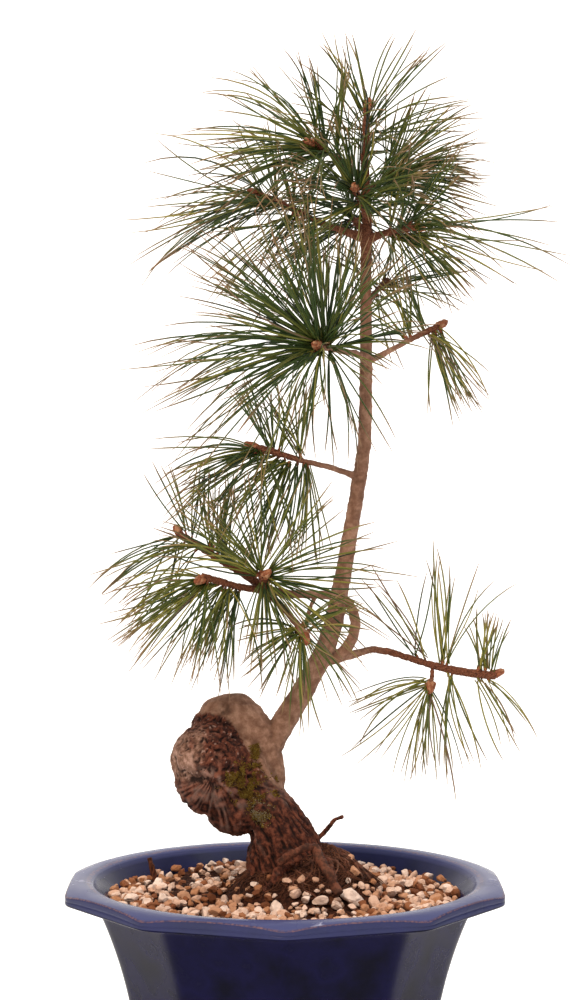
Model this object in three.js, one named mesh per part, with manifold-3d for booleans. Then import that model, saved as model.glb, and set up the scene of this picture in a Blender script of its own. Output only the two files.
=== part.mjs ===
// A young five-needle pine grown as a bonsai, with a curled trunk base, in a ten-sided glazed pot.
// Millimetres, +Z up. The origin is the centre of the pot's flat underside, and -Y is the front.
import * as THREE from "three";
import { mergeVertices } from "three/addons/utils/BufferGeometryUtils.js";
import Module from "manifold-3d";

const wasm = await Module();
wasm.setup();

// ---------------------------------------------------------------- driving dimensions

const clearance = 0.35; // left between pieces that touch

const pot = {
  sides: 10,
  height: 150, // underside to the crest of the rim
  rimCorner: 135, // axis to a corner of the rim
  rimDrop: 4.4, // how far the rim's top falls from its crest to a corner
  rimBand: 9, // height of the rim's upright band, from the crest
  bandRound: 1.5, // height of the rounding under the band
  crestInset: 14, // rim's corner in to its crest
  lipWidth: 7, // crest in to the mouth
  overhang: 20.7, // rim's corner in to the body's corner just under it
  rimDepth: 14, // crest down to the neck, where the body meets the rim
  throatDrop: 2, // neck down to where the cavity starts to widen
  footCorner: 88.8, // body's corner radius at the underside
  flare: 2.45, // power of the curve from foot to neck
  wall: 6, // at the middle of a side
  floor: 10,
  heel: 6, // cavity wall in to the flat of its floor
  heelRise: 8,
  drainRadius: 9,
  drainOffset: 36,
  grooveWidth: 8,
  grooveDepth: 3,
};
const neckHeight = pot.height - pot.rimDepth;
const neckCorner = pot.rimCorner - pot.overhang;
const crestRadius = pot.rimCorner - pot.crestInset;
const mouthRadius = crestRadius - pot.lipWidth;

const drainMesh = { overlap: 9.8, border: 4, thickness: 1.4, slotWidth: 2.4, slots: 5 };
const meshSide = 2 * (pot.drainRadius - 1.8 + drainMesh.overlap);

const gravel = { belowCrest: 9, depth: 13 };
const gravelTop = pot.height - gravel.belowCrest;
const soilTop = gravelTop - gravel.depth;

// The mound of root-bound soil that the trunk rises from. Its foot is in the gravel.
const mound = { x: 13, y: 0, footRadius: 47, topRadius: 17, rise: 26, sunk: 2, lean: 2 };

const pebbles = {
  count: 12,
  wallInset: 21.9, // cavity's wall in to the middle of their ring
  scatter: 7, // either side of the ring
  largest: 6.2,
  smallest: 4.0,
  sunk: 0.68, // share of a pebble below the gravel's surface
  flat: 0.8, // height to width
};

// Every place on the tree is measured from the pot's axis and from the gravel's surface.
// A patch of moss on the front of the trunk, where the curled base meets the neck.
const moss = { centre: [-24, -24, 62], halfSize: [15, 17, 17], thickness: 1.5 };

// A stick that was potted with the tree and leans out towards the wall at the back left.
const stick = { turn: 146.4, wallInset: 6.1, lean: 7.2, foot: -9, head: 10.5, radii: [2.4, 2.1, 1.5] };

const needle = {
  bundleRadius: 1.05, // of the five needles of a bundle, at their sheath
  spacing: 0.45, // left between bundles of different shoots
  ownSpacing: 0.1, // left between bundles of one shoot
  sleeveWall: 0.95, // bark-scale sleeve that a shoot's bundles stand on
  budLength: 3.6, // bud beyond the end of its twig
};

// ---------------------------------------------------------------- solids from geometries

// A closed geometry as a manifold-3d solid.
function solidOf(geometry) {
  const bare = new THREE.BufferGeometry().setAttribute("position", geometry.getAttribute("position").clone());
  if (geometry.index) bare.setIndex(geometry.index.clone());
  const merged = mergeVertices(bare, 1e-3);
  const corners = merged.index.array;
  const kept = [];
  for (let i = 0; i < corners.length; i += 3) {
    const [a, b, c] = corners.slice(i, i + 3);
    if (a !== b && b !== c && c !== a) kept.push(a, b, c);
  }
  const vertProperties = new Float32Array(merged.attributes.position.array);
  return new wasm.Manifold(new wasm.Mesh({ numProp: 3, vertProperties, triVerts: new Uint32Array(kept) }));
}

// A solid as a three.js geometry.
function geometryOf(solid) {
  const mesh = solid.getMesh();
  const positions = new Float32Array(mesh.numVert * 3);
  for (let i = 0; i < mesh.numVert; i++) {
    positions.set(mesh.vertProperties.subarray(i * mesh.numProp, i * mesh.numProp + 3), i * 3);
  }
  const geometry = new THREE.BufferGeometry();
  geometry.setAttribute("position", new THREE.BufferAttribute(positions, 3));
  geometry.setIndex(new THREE.BufferAttribute(new Uint32Array(mesh.triVerts), 1));
  geometry.computeVertexNormals();
  return geometry;
}

const union = (solids) => wasm.Manifold.union(solids);

// The piece of a solid that holds its greatest volume.
function mainBody(solid) {
  return solid.decompose().reduce((best, body) => (body.volume() > best.volume() ? body : best));
}

// A solid of revolution about a vertical line, from [radius, height] pairs that run outwards, up and back in.
function turned(profile, segments, x = 0, y = 0) {
  const points = profile.map(([radius, height]) => new THREE.Vector2(radius, height));
  const geometry = new THREE.LatheGeometry(points, segments);
  geometry.rotateX(Math.PI / 2);
  geometry.translate(x, y, 0);
  return solidOf(geometry);
}

function block(width, depth, height, x, y, z) {
  return solidOf(new THREE.BoxGeometry(width, depth, height).translate(x, y, z));
}

// Value at a share of the way through an evenly spaced list.
function along(list, share) {
  const at = Math.min(Math.max(share, 0), 1) * (list.length - 1);
  const i = Math.min(Math.floor(at), list.length - 2);
  return THREE.MathUtils.lerp(list[i], list[i + 1], at - i);
}

// A closed tube along a curve: a cylinder whose rings are moved onto the curve. grow thickens it all over
// and lengthens its ends.
function tube(curve, radii, sides, steps, grow = 0) {
  const frames = curve.computeFrenetFrames(steps, false);
  const geometry = new THREE.CylinderGeometry(1, 1, 1, sides, steps);
  const places = geometry.getAttribute("position");
  const v = new THREE.Vector3();
  for (let i = 0; i < places.count; i++) {
    v.fromBufferAttribute(places, i);
    const ring = Math.round((v.y + 0.5) * steps);
    const radius = along(radii, ring / steps) + grow;
    const end = ring === 0 ? -grow : ring === steps ? grow : 0;
    const centre = curve.getPointAt(ring / steps);
    centre.addScaledVector(frames.tangents[ring], end);
    centre.addScaledVector(frames.normals[ring], v.x * radius);
    centre.addScaledVector(frames.binormals[ring], -v.z * radius);
    places.setXYZ(i, centre.x, centre.y, centre.z);
  }
  return solidOf(geometry);
}

const curveThrough = (points) => new THREE.CatmullRomCurve3(points.map((p) => new THREE.Vector3(...p)));

// A place on the tree, whose height is measured from the gravel's surface, in the object's frame.
const planted = ([x, y, rise]) => [x, y, gravelTop + rise];

// A seeded random source, so that the tree is the same each time.
function seeded(seed) {
  let state = seed;
  return () => {
    state = (state + 0x6d2b79f5) | 0;
    let t = Math.imul(state ^ (state >>> 15), 1 | state);
    t = (t + Math.imul(t ^ (t >>> 7), 61 | t)) ^ t;
    return ((t ^ (t >>> 14)) >>> 0) / 4294967296;
  };
}

const goldenAngle = Math.PI * (3 - Math.sqrt(5));

// ---------------------------------------------------------------- pot

const sideShare = Math.cos(Math.PI / pot.sides); // middle of a side to corner

// Corner radius of the pot's flared body at a height.
function bodyCorner(z) {
  return pot.footCorner + (neckCorner - pot.footCorner) * (z / neckHeight) ** pot.flare;
}

// Radius of the round cavity at a height. It follows the body up to its throat and then widens to the mouth.
function cavityRadius(z) {
  const throat = neckHeight - pot.throatDrop;
  const inWall = bodyCorner(Math.min(z, throat)) * sideShare - pot.wall;
  if (z <= throat) return inWall;
  return THREE.MathUtils.lerp(inWall, mouthRadius, Math.sqrt((z - throat) / (pot.height - throat)));
}

// Height of the rim's rounded top at a radius beyond its crest.
function rimTop(radius) {
  const sideRadius = pot.rimCorner * sideShare;
  const fall = Math.max(0, (radius - sideRadius) / (pot.rimCorner - sideRadius));
  return pot.height - pot.rimDrop * fall;
}

// Heights of the body's rings. They are closer together where it flares most.
const bodyHeights = [0, 0.353, 0.618, 0.824, 1].map((share) => share * neckHeight);

// The pot's outer shape: a lathe whose rings are pushed in to a ten-sided outline where they are faceted.
function potShell() {
  const bandFoot = pot.height - pot.rimBand;
  const rings = [
    { radius: 0, z: 0, faceted: false },
    ...bodyHeights.map((z) => ({ radius: bodyCorner(z), z, faceted: true })),
    { radius: pot.rimCorner - 2 * pot.bandRound, z: bandFoot, faceted: true },
    { radius: pot.rimCorner, z: bandFoot + pot.bandRound, faceted: true },
    { radius: pot.rimCorner, z: pot.height - pot.rimDrop, faceted: true, scalloped: true },
    { radius: crestRadius, z: pot.height, faceted: false },
    { radius: 0, z: pot.height, faceted: false },
  ];
  const profile = rings.map((ring) => new THREE.Vector2(ring.radius, ring.z));
  const segments = pot.sides * 4;
  const geometry = new THREE.LatheGeometry(profile, segments);
  const places = geometry.getAttribute("position");
  const sector = (2 * Math.PI) / pot.sides;
  for (let i = 0; i < places.count; i++) {
    const ring = rings[i % rings.length];
    if (!ring.faceted) continue;
    const angle = Math.floor(i / rings.length) * ((2 * Math.PI) / segments);
    const share = sideShare / Math.cos((angle % sector) - sector / 2);
    const z = ring.scalloped ? rimTop(ring.radius * share) : ring.z;
    places.setXYZ(i, places.getX(i) * share, z, places.getZ(i) * share);
  }
  geometry.rotateX(Math.PI / 2);
  return solidOf(geometry);
}

const roundSegments = 40; // of everything turned about the pot's axis inside it

// Heights of the rings of whatever lies against the cavity's wall, so that their faces run side by side.
const wallHeights = [
  ...bodyHeights.slice(2, 4),
  neckHeight - pot.throatDrop,
  neckHeight + 1,
  gravelTop,
  gravelTop + 4,
];

// What fills the cavity from one height to another, or the same shrunk by a clearance.
function filling(from, to, footInset, shrink = 0) {
  const heights = wallHeights.filter((z) => z > from + 2 && z < to);
  if (footInset > 0) heights.unshift(from + pot.heelRise);
  const wall = [...heights, to].map((z) => [cavityRadius(z) - shrink, z]);
  const foot = [cavityRadius(from) - footInset - shrink, from];
  return turned([[0, from], foot, ...wall, [0, to]], roundSegments);
}

// The flat bevel between the mouth and the rim's crest.
function mouthBevel() {
  const cut = 1; // depth of the bevel
  const profile = [
    [0, pot.height - cut],
    [mouthRadius, pot.height - cut],
    [mouthRadius + 3 * cut, pot.height + cut],
    [0, pot.height + cut],
  ];
  return turned(profile, roundSegments);
}

// A drain hole, with the groove under the floor that leads from it to the foot's edge.
function drain(side) {
  const x = side * pot.drainOffset;
  const run = pot.footCorner - pot.drainOffset + 2;
  const hole = [[0, -1], [pot.drainRadius, -1], [pot.drainRadius, pot.floor + 1], [0, pot.floor + 1]];
  const groove = block(run, pot.grooveWidth, 2 * pot.grooveDepth, x + (side * run) / 2, 0, 0);
  return turned(hole, 20, x).add(groove);
}

function makePot() {
  const cavity = filling(pot.floor, pot.height - 0.5, pot.heel);
  return potShell().subtract(union([cavity, mouthBevel(), drain(-1), drain(1)]));
}

// A square of plastic mesh over a drain hole, with its slots cut through.
function makeDrainMesh(x) {
  const z = pot.floor + clearance + drainMesh.thickness / 2;
  const pitch = meshSide / (drainMesh.slots + 1);
  const slots = [];
  for (let i = 0; i < drainMesh.slots; i++) {
    const y = (i - (drainMesh.slots - 1) / 2) * pitch;
    slots.push(block(meshSide - 2 * drainMesh.border, drainMesh.slotWidth, 3 * drainMesh.thickness, x, y, z));
  }
  return block(meshSide, meshSide, drainMesh.thickness, x, 0, z).subtract(union(slots));
}

// ---------------------------------------------------------------- wood

// Each limb runs through hand-placed points, from where it leaves its parent. Its radii are evenly spaced.
const limbs = {
  neck: {
    through: [
      [4, 0, -5], [1.5, 0, 11], [-0.5, -1, 27], [-5, -3, 42], [-13, -5, 57], [-21, -7, 73],
      [-30, -6, 86],
    ],
    radii: [26, 24, 22, 16.5, 13, 12.5, 13],
    sides: 12,
    steps: 8,
  },
  lobe: {
    through: [
      [-45, 6, 89], [-42, 7, 100], [-35, 6, 106.5], [-24, 4, 101.5], [-14, 2, 89], [-9, 2, 75],
      [-5, 2, 62],
    ],
    radii: [12, 14, 14.6, 13, 10.5, 9, 6],
    sides: 11,
    steps: 9,
  },
  trunk: {
    through: [
      [-12, 2, 80], [-3.5, 1, 98], [6.5, 0, 113.5], [14.5, -1, 127.5], [21.5, -2, 141],
      [27.5, -1, 154.5], [30.5, 0, 168], [33, 1, 181], [36, 2, 196], [38.5, 2, 211],
      [41.5, 1, 229], [44.5, 0, 247], [47.5, 0, 268], [48.5, 0, 313], [48.5, 0, 373],
      [49, 0, 415], [47.5, 0, 433], [48.5, 0, 451], [49, 0, 470],
    ],
    radii: [7.8, 7.1, 6.4, 5.9, 5.3, 4.7, 4.4, 4.1, 3.9, 3.8, 3.6, 3.3, 3.1, 2.7, 2.3, 2],
    sides: 8,
    steps: 26,
  },
  low_loop: {
    through: [
      [22, -2, 139], [31, -1, 141], [39, -3, 149], [42, -8, 163], [38, -14, 174],
      [28, -19, 179], [14, -24, 180], [0, -29, 181], [-12, -33, 184],
    ],
    radii: [4.2, 3.6, 3.3, 3.1, 2.8, 2.6, 2.5, 2.4, 2.8],
    sides: 7,
    steps: 12,
  },
  low_bud: {
    through: [[-12, -32, 184], [-12.5, -38, 189], [-13, -43, 192]],
    radii: [2.4, 2.3, 2.6],
    sides: 8,
    steps: 2,
  },
  low_upper: {
    through: [[-12, -32, 184], [-23, -30, 192], [-37, -26, 200], [-50, -22, 208], [-63, -18, 216]],
    radii: [2.6, 2.5, 2.4, 2.2, 2],
    sides: 6,
    steps: 4,
  },
  low_outer: {
    through: [[-12, -33, 183], [-26, -38, 185], [-38, -44, 189], [-48, -50, 192]],
    radii: [2.4, 2, 2, 2.2],
    sides: 6,
    steps: 4,
  },
  low_inner: {
    through: [[-11, -33, 182], [-2, -36, 174], [6, -40, 165], [12, -45, 158]],
    radii: [2.4, 2, 1.8, 1.9],
    sides: 6,
    steps: 4,
  },
  low_twig: {
    through: [[18, -23, 179], [14, -32, 171], [12, -42, 162]],
    radii: [1.3, 1.1, 1.1],
    sides: 6,
    steps: 3,
  },
  right: {
    through: [
      [22, -1, 138], [31, 0, 140], [40, 4, 142], [50, 8, 145], [62, 11, 143.5], [76, 14, 139],
      [92, 16, 134], [108, 17, 130.5], [128, 18, 128],
    ],
    radii: [3.4, 2.8, 2.2, 2.1, 2, 2, 2.2, 2.5, 2.6, 2.4],
    sides: 7,
    steps: 10,
  },
  right_spur: {
    through: [[89, 15, 135], [89, 11, 129], [88, 8, 124]],
    radii: [1.2, 1.2, 1.5],
    sides: 6,
    steps: 2,
  },
  mid_left: {
    through: [
      [44, 0, 249], [33, -3, 253], [22, -7, 256], [9, -12, 259], [-4, -16, 263],
      [-18, -20, 267],
    ],
    radii: [2.2, 1.6, 1.5, 1.7, 2, 2.2],
    sides: 6,
    steps: 6,
  },
  centre: {
    through: [[48.5, 0, 320], [39, -16, 323], [29, -32, 323.5], [19, -50, 325]],
    radii: [2.4, 1.9, 1.8, 2.4],
    sides: 6,
    steps: 4,
  },
  mid_right: {
    through: [[49, 0, 318], [61, 6, 324], [72, 12, 330], [83, 18, 336], [94, 22, 341]],
    radii: [2.2, 1.7, 1.6, 1.8, 1.9],
    sides: 6,
    steps: 4,
  },
  back_right: {
    through: [[48.5, 0, 353], [55, 14, 361], [62, 30, 369]],
    radii: [2, 1.6, 1.9],
    sides: 6,
    steps: 4,
  },
  whorl_left: {
    through: [
      [48.5, 0, 392], [37, 2, 396], [22, 4, 401.5], [9, 6, 408], [-4, 8, 415], [-17, 10, 420.5],
    ],
    radii: [3, 2.1, 1.9, 1.8, 1.9, 1.7],
    sides: 6,
    steps: 6,
  },
  whorl_right: {
    through: [[49, 0, 391], [60, -4, 395], [69, -8, 396], [77, -12, 398]],
    radii: [2.8, 2, 2.1, 2.4],
    sides: 6,
    steps: 4,
  },
  whorl_back: {
    through: [[49, 0, 395], [43, 14, 403], [38, 28, 412]],
    radii: [2.4, 1.7, 1.7],
    sides: 6,
    steps: 4,
  },
  crown_left: {
    through: [[48, 0, 427], [37, -6, 435], [27, -11, 441], [17, -16, 447.5]],
    radii: [2.2, 1.6, 1.6, 1.5],
    sides: 6,
    steps: 4,
  },
  crown_right: {
    through: [[48, 0, 419], [57, 6, 426], [66, 12, 433]],
    radii: [2, 1.5, 1.5],
    sides: 6,
    steps: 4,
  },
  crown_front: {
    through: [[49, 0, 404], [45, -14, 411], [41, -28, 419]],
    radii: [2, 1.6, 1.7],
    sides: 6,
    steps: 4,
  },
  root_arch: {
    through: [[14, -10, 27], [10, -21, 25], [0, -26, 20], [-9, -28, 9], [-12, -30, -3]],
    radii: [3.2, 2.8, 2.6, 2.4, 2],
    sides: 6,
    steps: 5,
  },
  root_strut: {
    through: [[13, -10, 29], [22, -19, 22], [28, -25, 13], [32, -28, 2], [36, -30, -11]],
    radii: [3.4, 3.4, 3.4, 3, 2.2],
    sides: 6,
    steps: 5,
  },
  root_stub: {
    through: [[14, 2, 27], [22, 2, 34], [27, 0, 40], [31, -2, 45], [35, -3, 46]],
    radii: [2.2, 1.6, 1.4, 1.4, 1],
    sides: 6,
    steps: 5,
  },
};
for (const limb of Object.values(limbs)) limb.curve = curveThrough(limb.through.map(planted));

// Swellings of the curled base: centre, half-sizes.
const burls = [
  [[-44, -5, 80], [25.5, 24, 22.5]],
  [[-41, -5, 67], [25, 23, 21]],
  [[-30, -5, 52], [18, 18, 17]],
  [[-30, 4, 87], [16, 14, 15]],
];

// Buried roots that anchor the tree: a ring of tapering roots that dive outwards from the neck.
function buriedRoots(grow) {
  const count = 6;
  return Array.from({ length: count }, (_, i) => {
    const angle = (i + 0.3) * ((2 * Math.PI) / count);
    const reach = 54 + 6 * Math.sin(3 * i);
    const at = (radius, rise) => planted([4 + radius * Math.cos(angle), radius * Math.sin(angle), rise]);
    const curve = curveThrough([at(12, 5), at(reach * 0.5, -13), at(reach * 0.8, -37), at(reach, -65)]);
    return tube(curve, [6.5, 4.5, 3.2, 1.6], 5, 4, grow);
  });
}

// All of the wood as one solid. grow makes the slightly larger copy that other pieces are cut back from.
function makeWood(grow = 0) {
  const pieces = Object.values(limbs).map((limb) => {
    const { curve, radii, sides, steps } = limb;
    return tube(curve, radii, sides, steps, grow);
  });
  for (const [centre, sizes] of burls) {
    const ball = new THREE.SphereGeometry(1, 12, 7);
    ball.scale(...sizes.map((size) => size + grow)).translate(...planted(centre));
    pieces.push(solidOf(ball));
  }
  return union([...pieces, ...buriedRoots(grow)]);
}

// ---------------------------------------------------------------- soil, gravel and pebbles

function makeMound(grow = 0) {
  const at = (share) => THREE.MathUtils.lerp(mound.footRadius, mound.topRadius, share) + grow;
  const profile = [
    [0, soilTop - mound.sunk - grow],
    [mound.footRadius + mound.lean + grow, soilTop - mound.sunk - grow],
    [at(0), gravelTop - 1],
    [at(0.42), gravelTop + mound.rise * 0.36 + grow],
    [at(0.78), gravelTop + mound.rise * 0.8 + grow],
    [at(1), gravelTop + mound.rise - 1 + grow],
    [0, gravelTop + mound.rise + grow],
  ];
  return turned(profile, 28, mound.x, mound.y);
}

// Pebbles lie in a ring on the gravel. The largest sits at the mound's foot, to the front right.
function pebblePlaces() {
  const random = seeded(11);
  const ring = cavityRadius(gravelTop) - pebbles.wallInset;
  const places = [{ x: mound.x + 29, y: mound.y - 48, radius: pebbles.largest + 1 }];
  for (let i = 1; i < pebbles.count; i++) {
    const angle = -Math.PI / 2 + 0.62 + i * ((2 * Math.PI) / pebbles.count);
    const reach = ring + pebbles.scatter * (2 * random() - 1);
    places.push({
      x: reach * Math.cos(angle),
      y: reach * Math.sin(angle),
      radius: THREE.MathUtils.lerp(pebbles.smallest, pebbles.largest, random()),
    });
  }
  return places;
}

// A rough stone. Each corner of a ball is moved in or out by its own amount.
function makePebble(place, index, grow = 0) {
  const random = seeded(100 + index);
  const facets = new THREE.IcosahedronGeometry(1, 1).deleteAttribute("normal").deleteAttribute("uv");
  const ball = mergeVertices(facets);
  const corners = ball.getAttribute("position");
  for (let i = 0; i < corners.count; i++) {
    const size = place.radius * (0.86 + 0.22 * random()) + grow;
    corners.setXYZ(i, corners.getX(i) * size, corners.getY(i) * size, corners.getZ(i) * size * pebbles.flat);
  }
  ball.rotateZ(random() * Math.PI);
  ball.translate(place.x, place.y, gravelTop + place.radius * pebbles.flat * (1 - 2 * pebbles.sunk));
  return solidOf(ball);
}

// ---------------------------------------------------------------- needles

// Each shoot carries needle bundles on the end of a limb, from a share of its length. A spray with tilt
// stands round the twig like a bottle brush, leaning from the first angle to the second. A spray with aim
// fans out round one direction, and spread is how wide. at is where it stands on the shoot.
const shoots = {
  apex: {
    limb: "trunk",
    from: 0.93,
    sprays: [
      { bundles: 5, at: [0.55, 1], tilt: [62, 18], length: 66, sag: 0.03 },
      { bundles: 9, at: [0, 0.6], tilt: [82, 55], length: 66, sag: 0.05 },
    ],
  },
  crown_left: {
    limb: "crown_left",
    from: 0.45,
    sprays: [
      { bundles: 8, at: [0.1, 1], tilt: [75, 30], length: 66, sag: 0.05 },
      { bundles: 3, at: [0.4, 1], aim: [-1, -0.1, 0.12], spread: 0.3, length: 82, sag: 0.08 },
    ],
  },
  crown_right: {
    limb: "crown_right",
    from: 0.35,
    sprays: [
      { bundles: 9, at: [0, 1], tilt: [80, 35], length: 62, sag: 0.04 },
      { bundles: 4, at: [0.3, 1], aim: [1, 0, 0.22], spread: 0.4, length: 58, sag: 0.05 },
    ],
  },
  crown_front: {
    limb: "crown_front",
    from: 0.4,
    sprays: [{ bundles: 11, at: [0, 1], tilt: [88, 35], length: 52, sag: 0.05 }],
  },
  whorl_left: {
    limb: "whorl_left",
    from: 0.42,
    sprays: [
      { bundles: 11, at: [0, 1], tilt: [80, 35], length: 64, sag: 0.1 },
      { bundles: 3, at: [0.6, 1], aim: [-1, 0, -0.12], spread: 0.32, length: 80, sag: 0.05 },
      { bundles: 3, at: [0, 0.6], aim: [-0.35, 0, -1], spread: 0.4, length: 62, sag: 0 },
    ],
  },
  whorl_right: {
    limb: "whorl_right",
    from: 0.4,
    sprays: [
      { bundles: 9, at: [0, 1], tilt: [82, 32], length: 56, sag: 0.05 },
      { bundles: 2, at: [0.9, 1], aim: [1, 0, 0.03], spread: 0.04, length: 88, sag: -0.06 },
      { bundles: 3, at: [0.3, 1], aim: [0.8, 0, -0.5], spread: 0.3, length: 62, sag: 0.03 },
    ],
  },
  whorl_back: {
    limb: "whorl_back",
    from: 0.4,
    sprays: [{ bundles: 9, at: [0, 1], tilt: [88, 40], length: 58, sag: 0.06 }],
  },
  back_right: {
    limb: "back_right",
    from: 0.45,
    sprays: [
      { bundles: 5, at: [0, 1], tilt: [80, 30], length: 54, sag: 0.05 },
      { bundles: 3, at: [0.3, 1], aim: [1, 0.1, 0.12], spread: 0.3, length: 58, sag: 0.04 },
    ],
  },
  mid_right: {
    limb: "mid_right",
    from: 0.5,
    sprays: [
      { bundles: 4, at: [0.5, 1], aim: [0.55, 0, -1], spread: 0.38, length: 60, sag: 0 },
      { bundles: 3, at: [0.1, 0.9], aim: [-0.5, 0, 0.8], spread: 0.4, length: 48, sag: 0.04 },
      { bundles: 3, at: [0.5, 1], aim: [0.9, 0.1, 0.35], spread: 0.3, length: 40, sag: 0.03 },
    ],
  },
  centre: {
    limb: "centre",
    from: 0.72,
    sprays: [
      { bundles: 12, at: [0, 1], tilt: [95, 45], length: 68, sag: 0.04 },
      { bundles: 4, at: [0.2, 1], aim: [-0.75, -0.1, 0.75], spread: 0.42, length: 96, sag: 0.03 },
      { bundles: 4, at: [0.2, 1], aim: [-1, -0.05, -0.35], spread: 0.4, length: 98, sag: 0.08 },
      { bundles: 3, at: [0.2, 1], aim: [0.15, 0, 1], spread: 0.42, length: 80, sag: 0.0 },
    ],
  },
  mid_left: {
    limb: "mid_left",
    from: 0.42,
    sprays: [
      { bundles: 5, at: [0.5, 1], aim: [-1, -0.1, -0.2], spread: 0.4, length: 62, sag: 0.12 },
      { bundles: 8, at: [0.1, 1], aim: [-0.4, -0.2, -1], spread: 0.55, length: 68, sag: 0.02 },
      { bundles: 5, at: [0.1, 1], aim: [-0.25, 0, 1], spread: 0.6, length: 52, sag: 0.04 },
    ],
  },
  low_upper: {
    limb: "low_upper",
    from: 0.42,
    sprays: [
      { bundles: 8, at: [0, 0.9], aim: [0.1, 0, 1], spread: 0.42, length: 52, sag: 0.02 },
      { bundles: 4, at: [0.3, 1], aim: [-0.9, -0.1, -0.5], spread: 0.28, length: 58, sag: 0.08 },
      { bundles: 3, at: [0.5, 1], aim: [-0.7, 0, 0.6], spread: 0.35, length: 34, sag: 0.02 },
    ],
  },
  low_outer: {
    limb: "low_outer",
    from: 0.35,
    sprays: [
      { bundles: 5, at: [0.4, 1], aim: [-1, -0.1, -0.28], spread: 0.25, length: 66, sag: 0.12 },
      { bundles: 8, at: [0, 0.9], aim: [-0.45, -0.1, -0.9], spread: 0.5, length: 60, sag: 0.03 },
    ],
  },
  low_bud: {
    limb: "low_bud",
    from: 0.35,
    sprays: [
      { bundles: 2, at: [0.6, 1], aim: [0.72, -0.2, 0.7], spread: 0.16, length: 70, sag: -0.03 },
      { bundles: 2, at: [0.6, 1], aim: [1, -0.3, 0.1], spread: 0.2, length: 76, sag: -0.05 },
      { bundles: 3, at: [0.6, 1], aim: [-0.8, -0.3, 0.55], spread: 0.3, length: 72, sag: 0.02 },
      { bundles: 2, at: [0.6, 1], aim: [-0.28, -0.2, 1], spread: 0.18, length: 62, sag: 0 },
      { bundles: 3, at: [0.3, 0.9], aim: [-0.15, -0.3, -1], spread: 0.5, length: 60, sag: 0 },
      { bundles: 2, at: [0.3, 0.9], aim: [0.85, -0.3, -0.5], spread: 0.22, length: 76, sag: 0 },
    ],
  },
  low_inner: {
    limb: "low_inner",
    from: 0.72,
    sprays: [
      { bundles: 3, at: [0.3, 1], aim: [-0.9, -0.2, -0.2], spread: 0.4, length: 40, sag: 0.03 },
      { bundles: 3, at: [0.3, 1], aim: [-0.5, -0.2, -1], spread: 0.4, length: 46, sag: 0.02 },
      { bundles: 3, at: [0.3, 1], aim: [0.4, -0.3, -1], spread: 0.3, length: 54, sag: 0 },
      { bundles: 3, at: [0.3, 1], aim: [0.9, -0.5, 0.15], spread: 0.45, length: 36, sag: 0 },
    ],
  },
  right_inner: {
    limb: "right_spur",
    from: 0.3,
    sprays: [
      { bundles: 3, at: [0.5, 1], aim: [-0.7, -0.15, -1], spread: 0.34, length: 66, sag: 0.02 },
      { bundles: 2, at: [0.4, 1], aim: [-1, -0.1, -0.3], spread: 0.12, length: 46, sag: 0.12 },
      { bundles: 2, at: [0.5, 1], aim: [-0.1, 0, -1], spread: 0.18, length: 64, sag: 0 },
    ],
  },
  right_tip: {
    limb: "right",
    from: 0.55,
    sprays: [
      { bundles: 3, at: [0, 0.25], aim: [-0.55, -0.1, 1], spread: 0.26, length: 66, sag: 0.02 },
      { bundles: 2, at: [0, 0.2], aim: [-1, -0.25, 0.45], spread: 0.16, length: 62, sag: 0.02 },
      { bundles: 3, at: [0.32, 0.42], aim: [0.15, -0.1, 1], spread: 0.3, length: 68, sag: 0.02 },
      { bundles: 2, at: [0.35, 0.5], aim: [-0.12, -0.1, -1], spread: 0.22, length: 68, sag: 0 },
      { bundles: 2, at: [0.6, 0.95], aim: [0.55, 0, -0.75], spread: 0.18, length: 54, sag: 0 },
      { bundles: 4, at: [0.65, 0.95], aim: [0.15, -0.1, 1], spread: 0.4, length: 36, sag: 0 },
      { bundles: 2, at: [0.8, 1], aim: [1, -0.1, 0.1], spread: 0.14, length: 32, sag: 0 },
    ],
  },
};

// Points on a shoot, in order, with the twig's radius there.
function shootLine(shoot, steps) {
  const limb = limbs[shoot.limb];
  return Array.from({ length: steps + 1 }, (_, i) => {
    const share = THREE.MathUtils.lerp(shoot.from, 1, i / steps);
    return { point: limb.curve.getPointAt(share), radius: along(limb.radii, share) };
  });
}

// The bark-scale sleeve on the twig's end, closed by the bud.
function sleeve(shoot) {
  const line = shootLine(shoot, 4);
  const limb = limbs[shoot.limb];
  const tip = limb.curve.getPointAt(1);
  const heading = limb.curve.getTangentAt(1);
  const outer = needle.sleeveWall + clearance;
  const bud = [0.45, 1].map((share) => tip.clone().addScaledVector(heading, share * needle.budLength));
  const curve = new THREE.CatmullRomCurve3([...line.map((stop) => stop.point), ...bud]);
  const radii = line.map((stop) => stop.radius + outer);
  return tube(curve, [...radii, radii.at(-1), radii.at(-1) * 0.45], 7, 6);
}

// Two unit vectors square to a direction.
function across(direction) {
  const up = Math.abs(direction.z) < 0.9 ? new THREE.Vector3(0, 0, 1) : new THREE.Vector3(1, 0, 0);
  const first = new THREE.Vector3().crossVectors(direction, up).normalize();
  return [first, new THREE.Vector3().crossVectors(direction, first)];
}

// The heading of one bundle of a spray. turn is its place in the spiral, and share its place in the spray.
function bundleHeading(spray, twig, turn, share) {
  if (spray.aim) {
    const aim = new THREE.Vector3(...spray.aim).normalize();
    const [u, v] = across(aim);
    const reach = spray.spread * Math.sqrt(share);
    aim.addScaledVector(u, reach * Math.cos(turn));
    return aim.addScaledVector(v, reach * Math.sin(turn)).normalize();
  }
  const lean = THREE.MathUtils.degToRad(THREE.MathUtils.lerp(spray.tilt[0], spray.tilt[1], share));
  const [u, v] = across(twig);
  const side = u.multiplyScalar(Math.cos(turn)).addScaledVector(v, Math.sin(turn));
  return twig.clone().multiplyScalar(Math.cos(lean)).addScaledVector(side, Math.sin(lean)).normalize();
}

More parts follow.
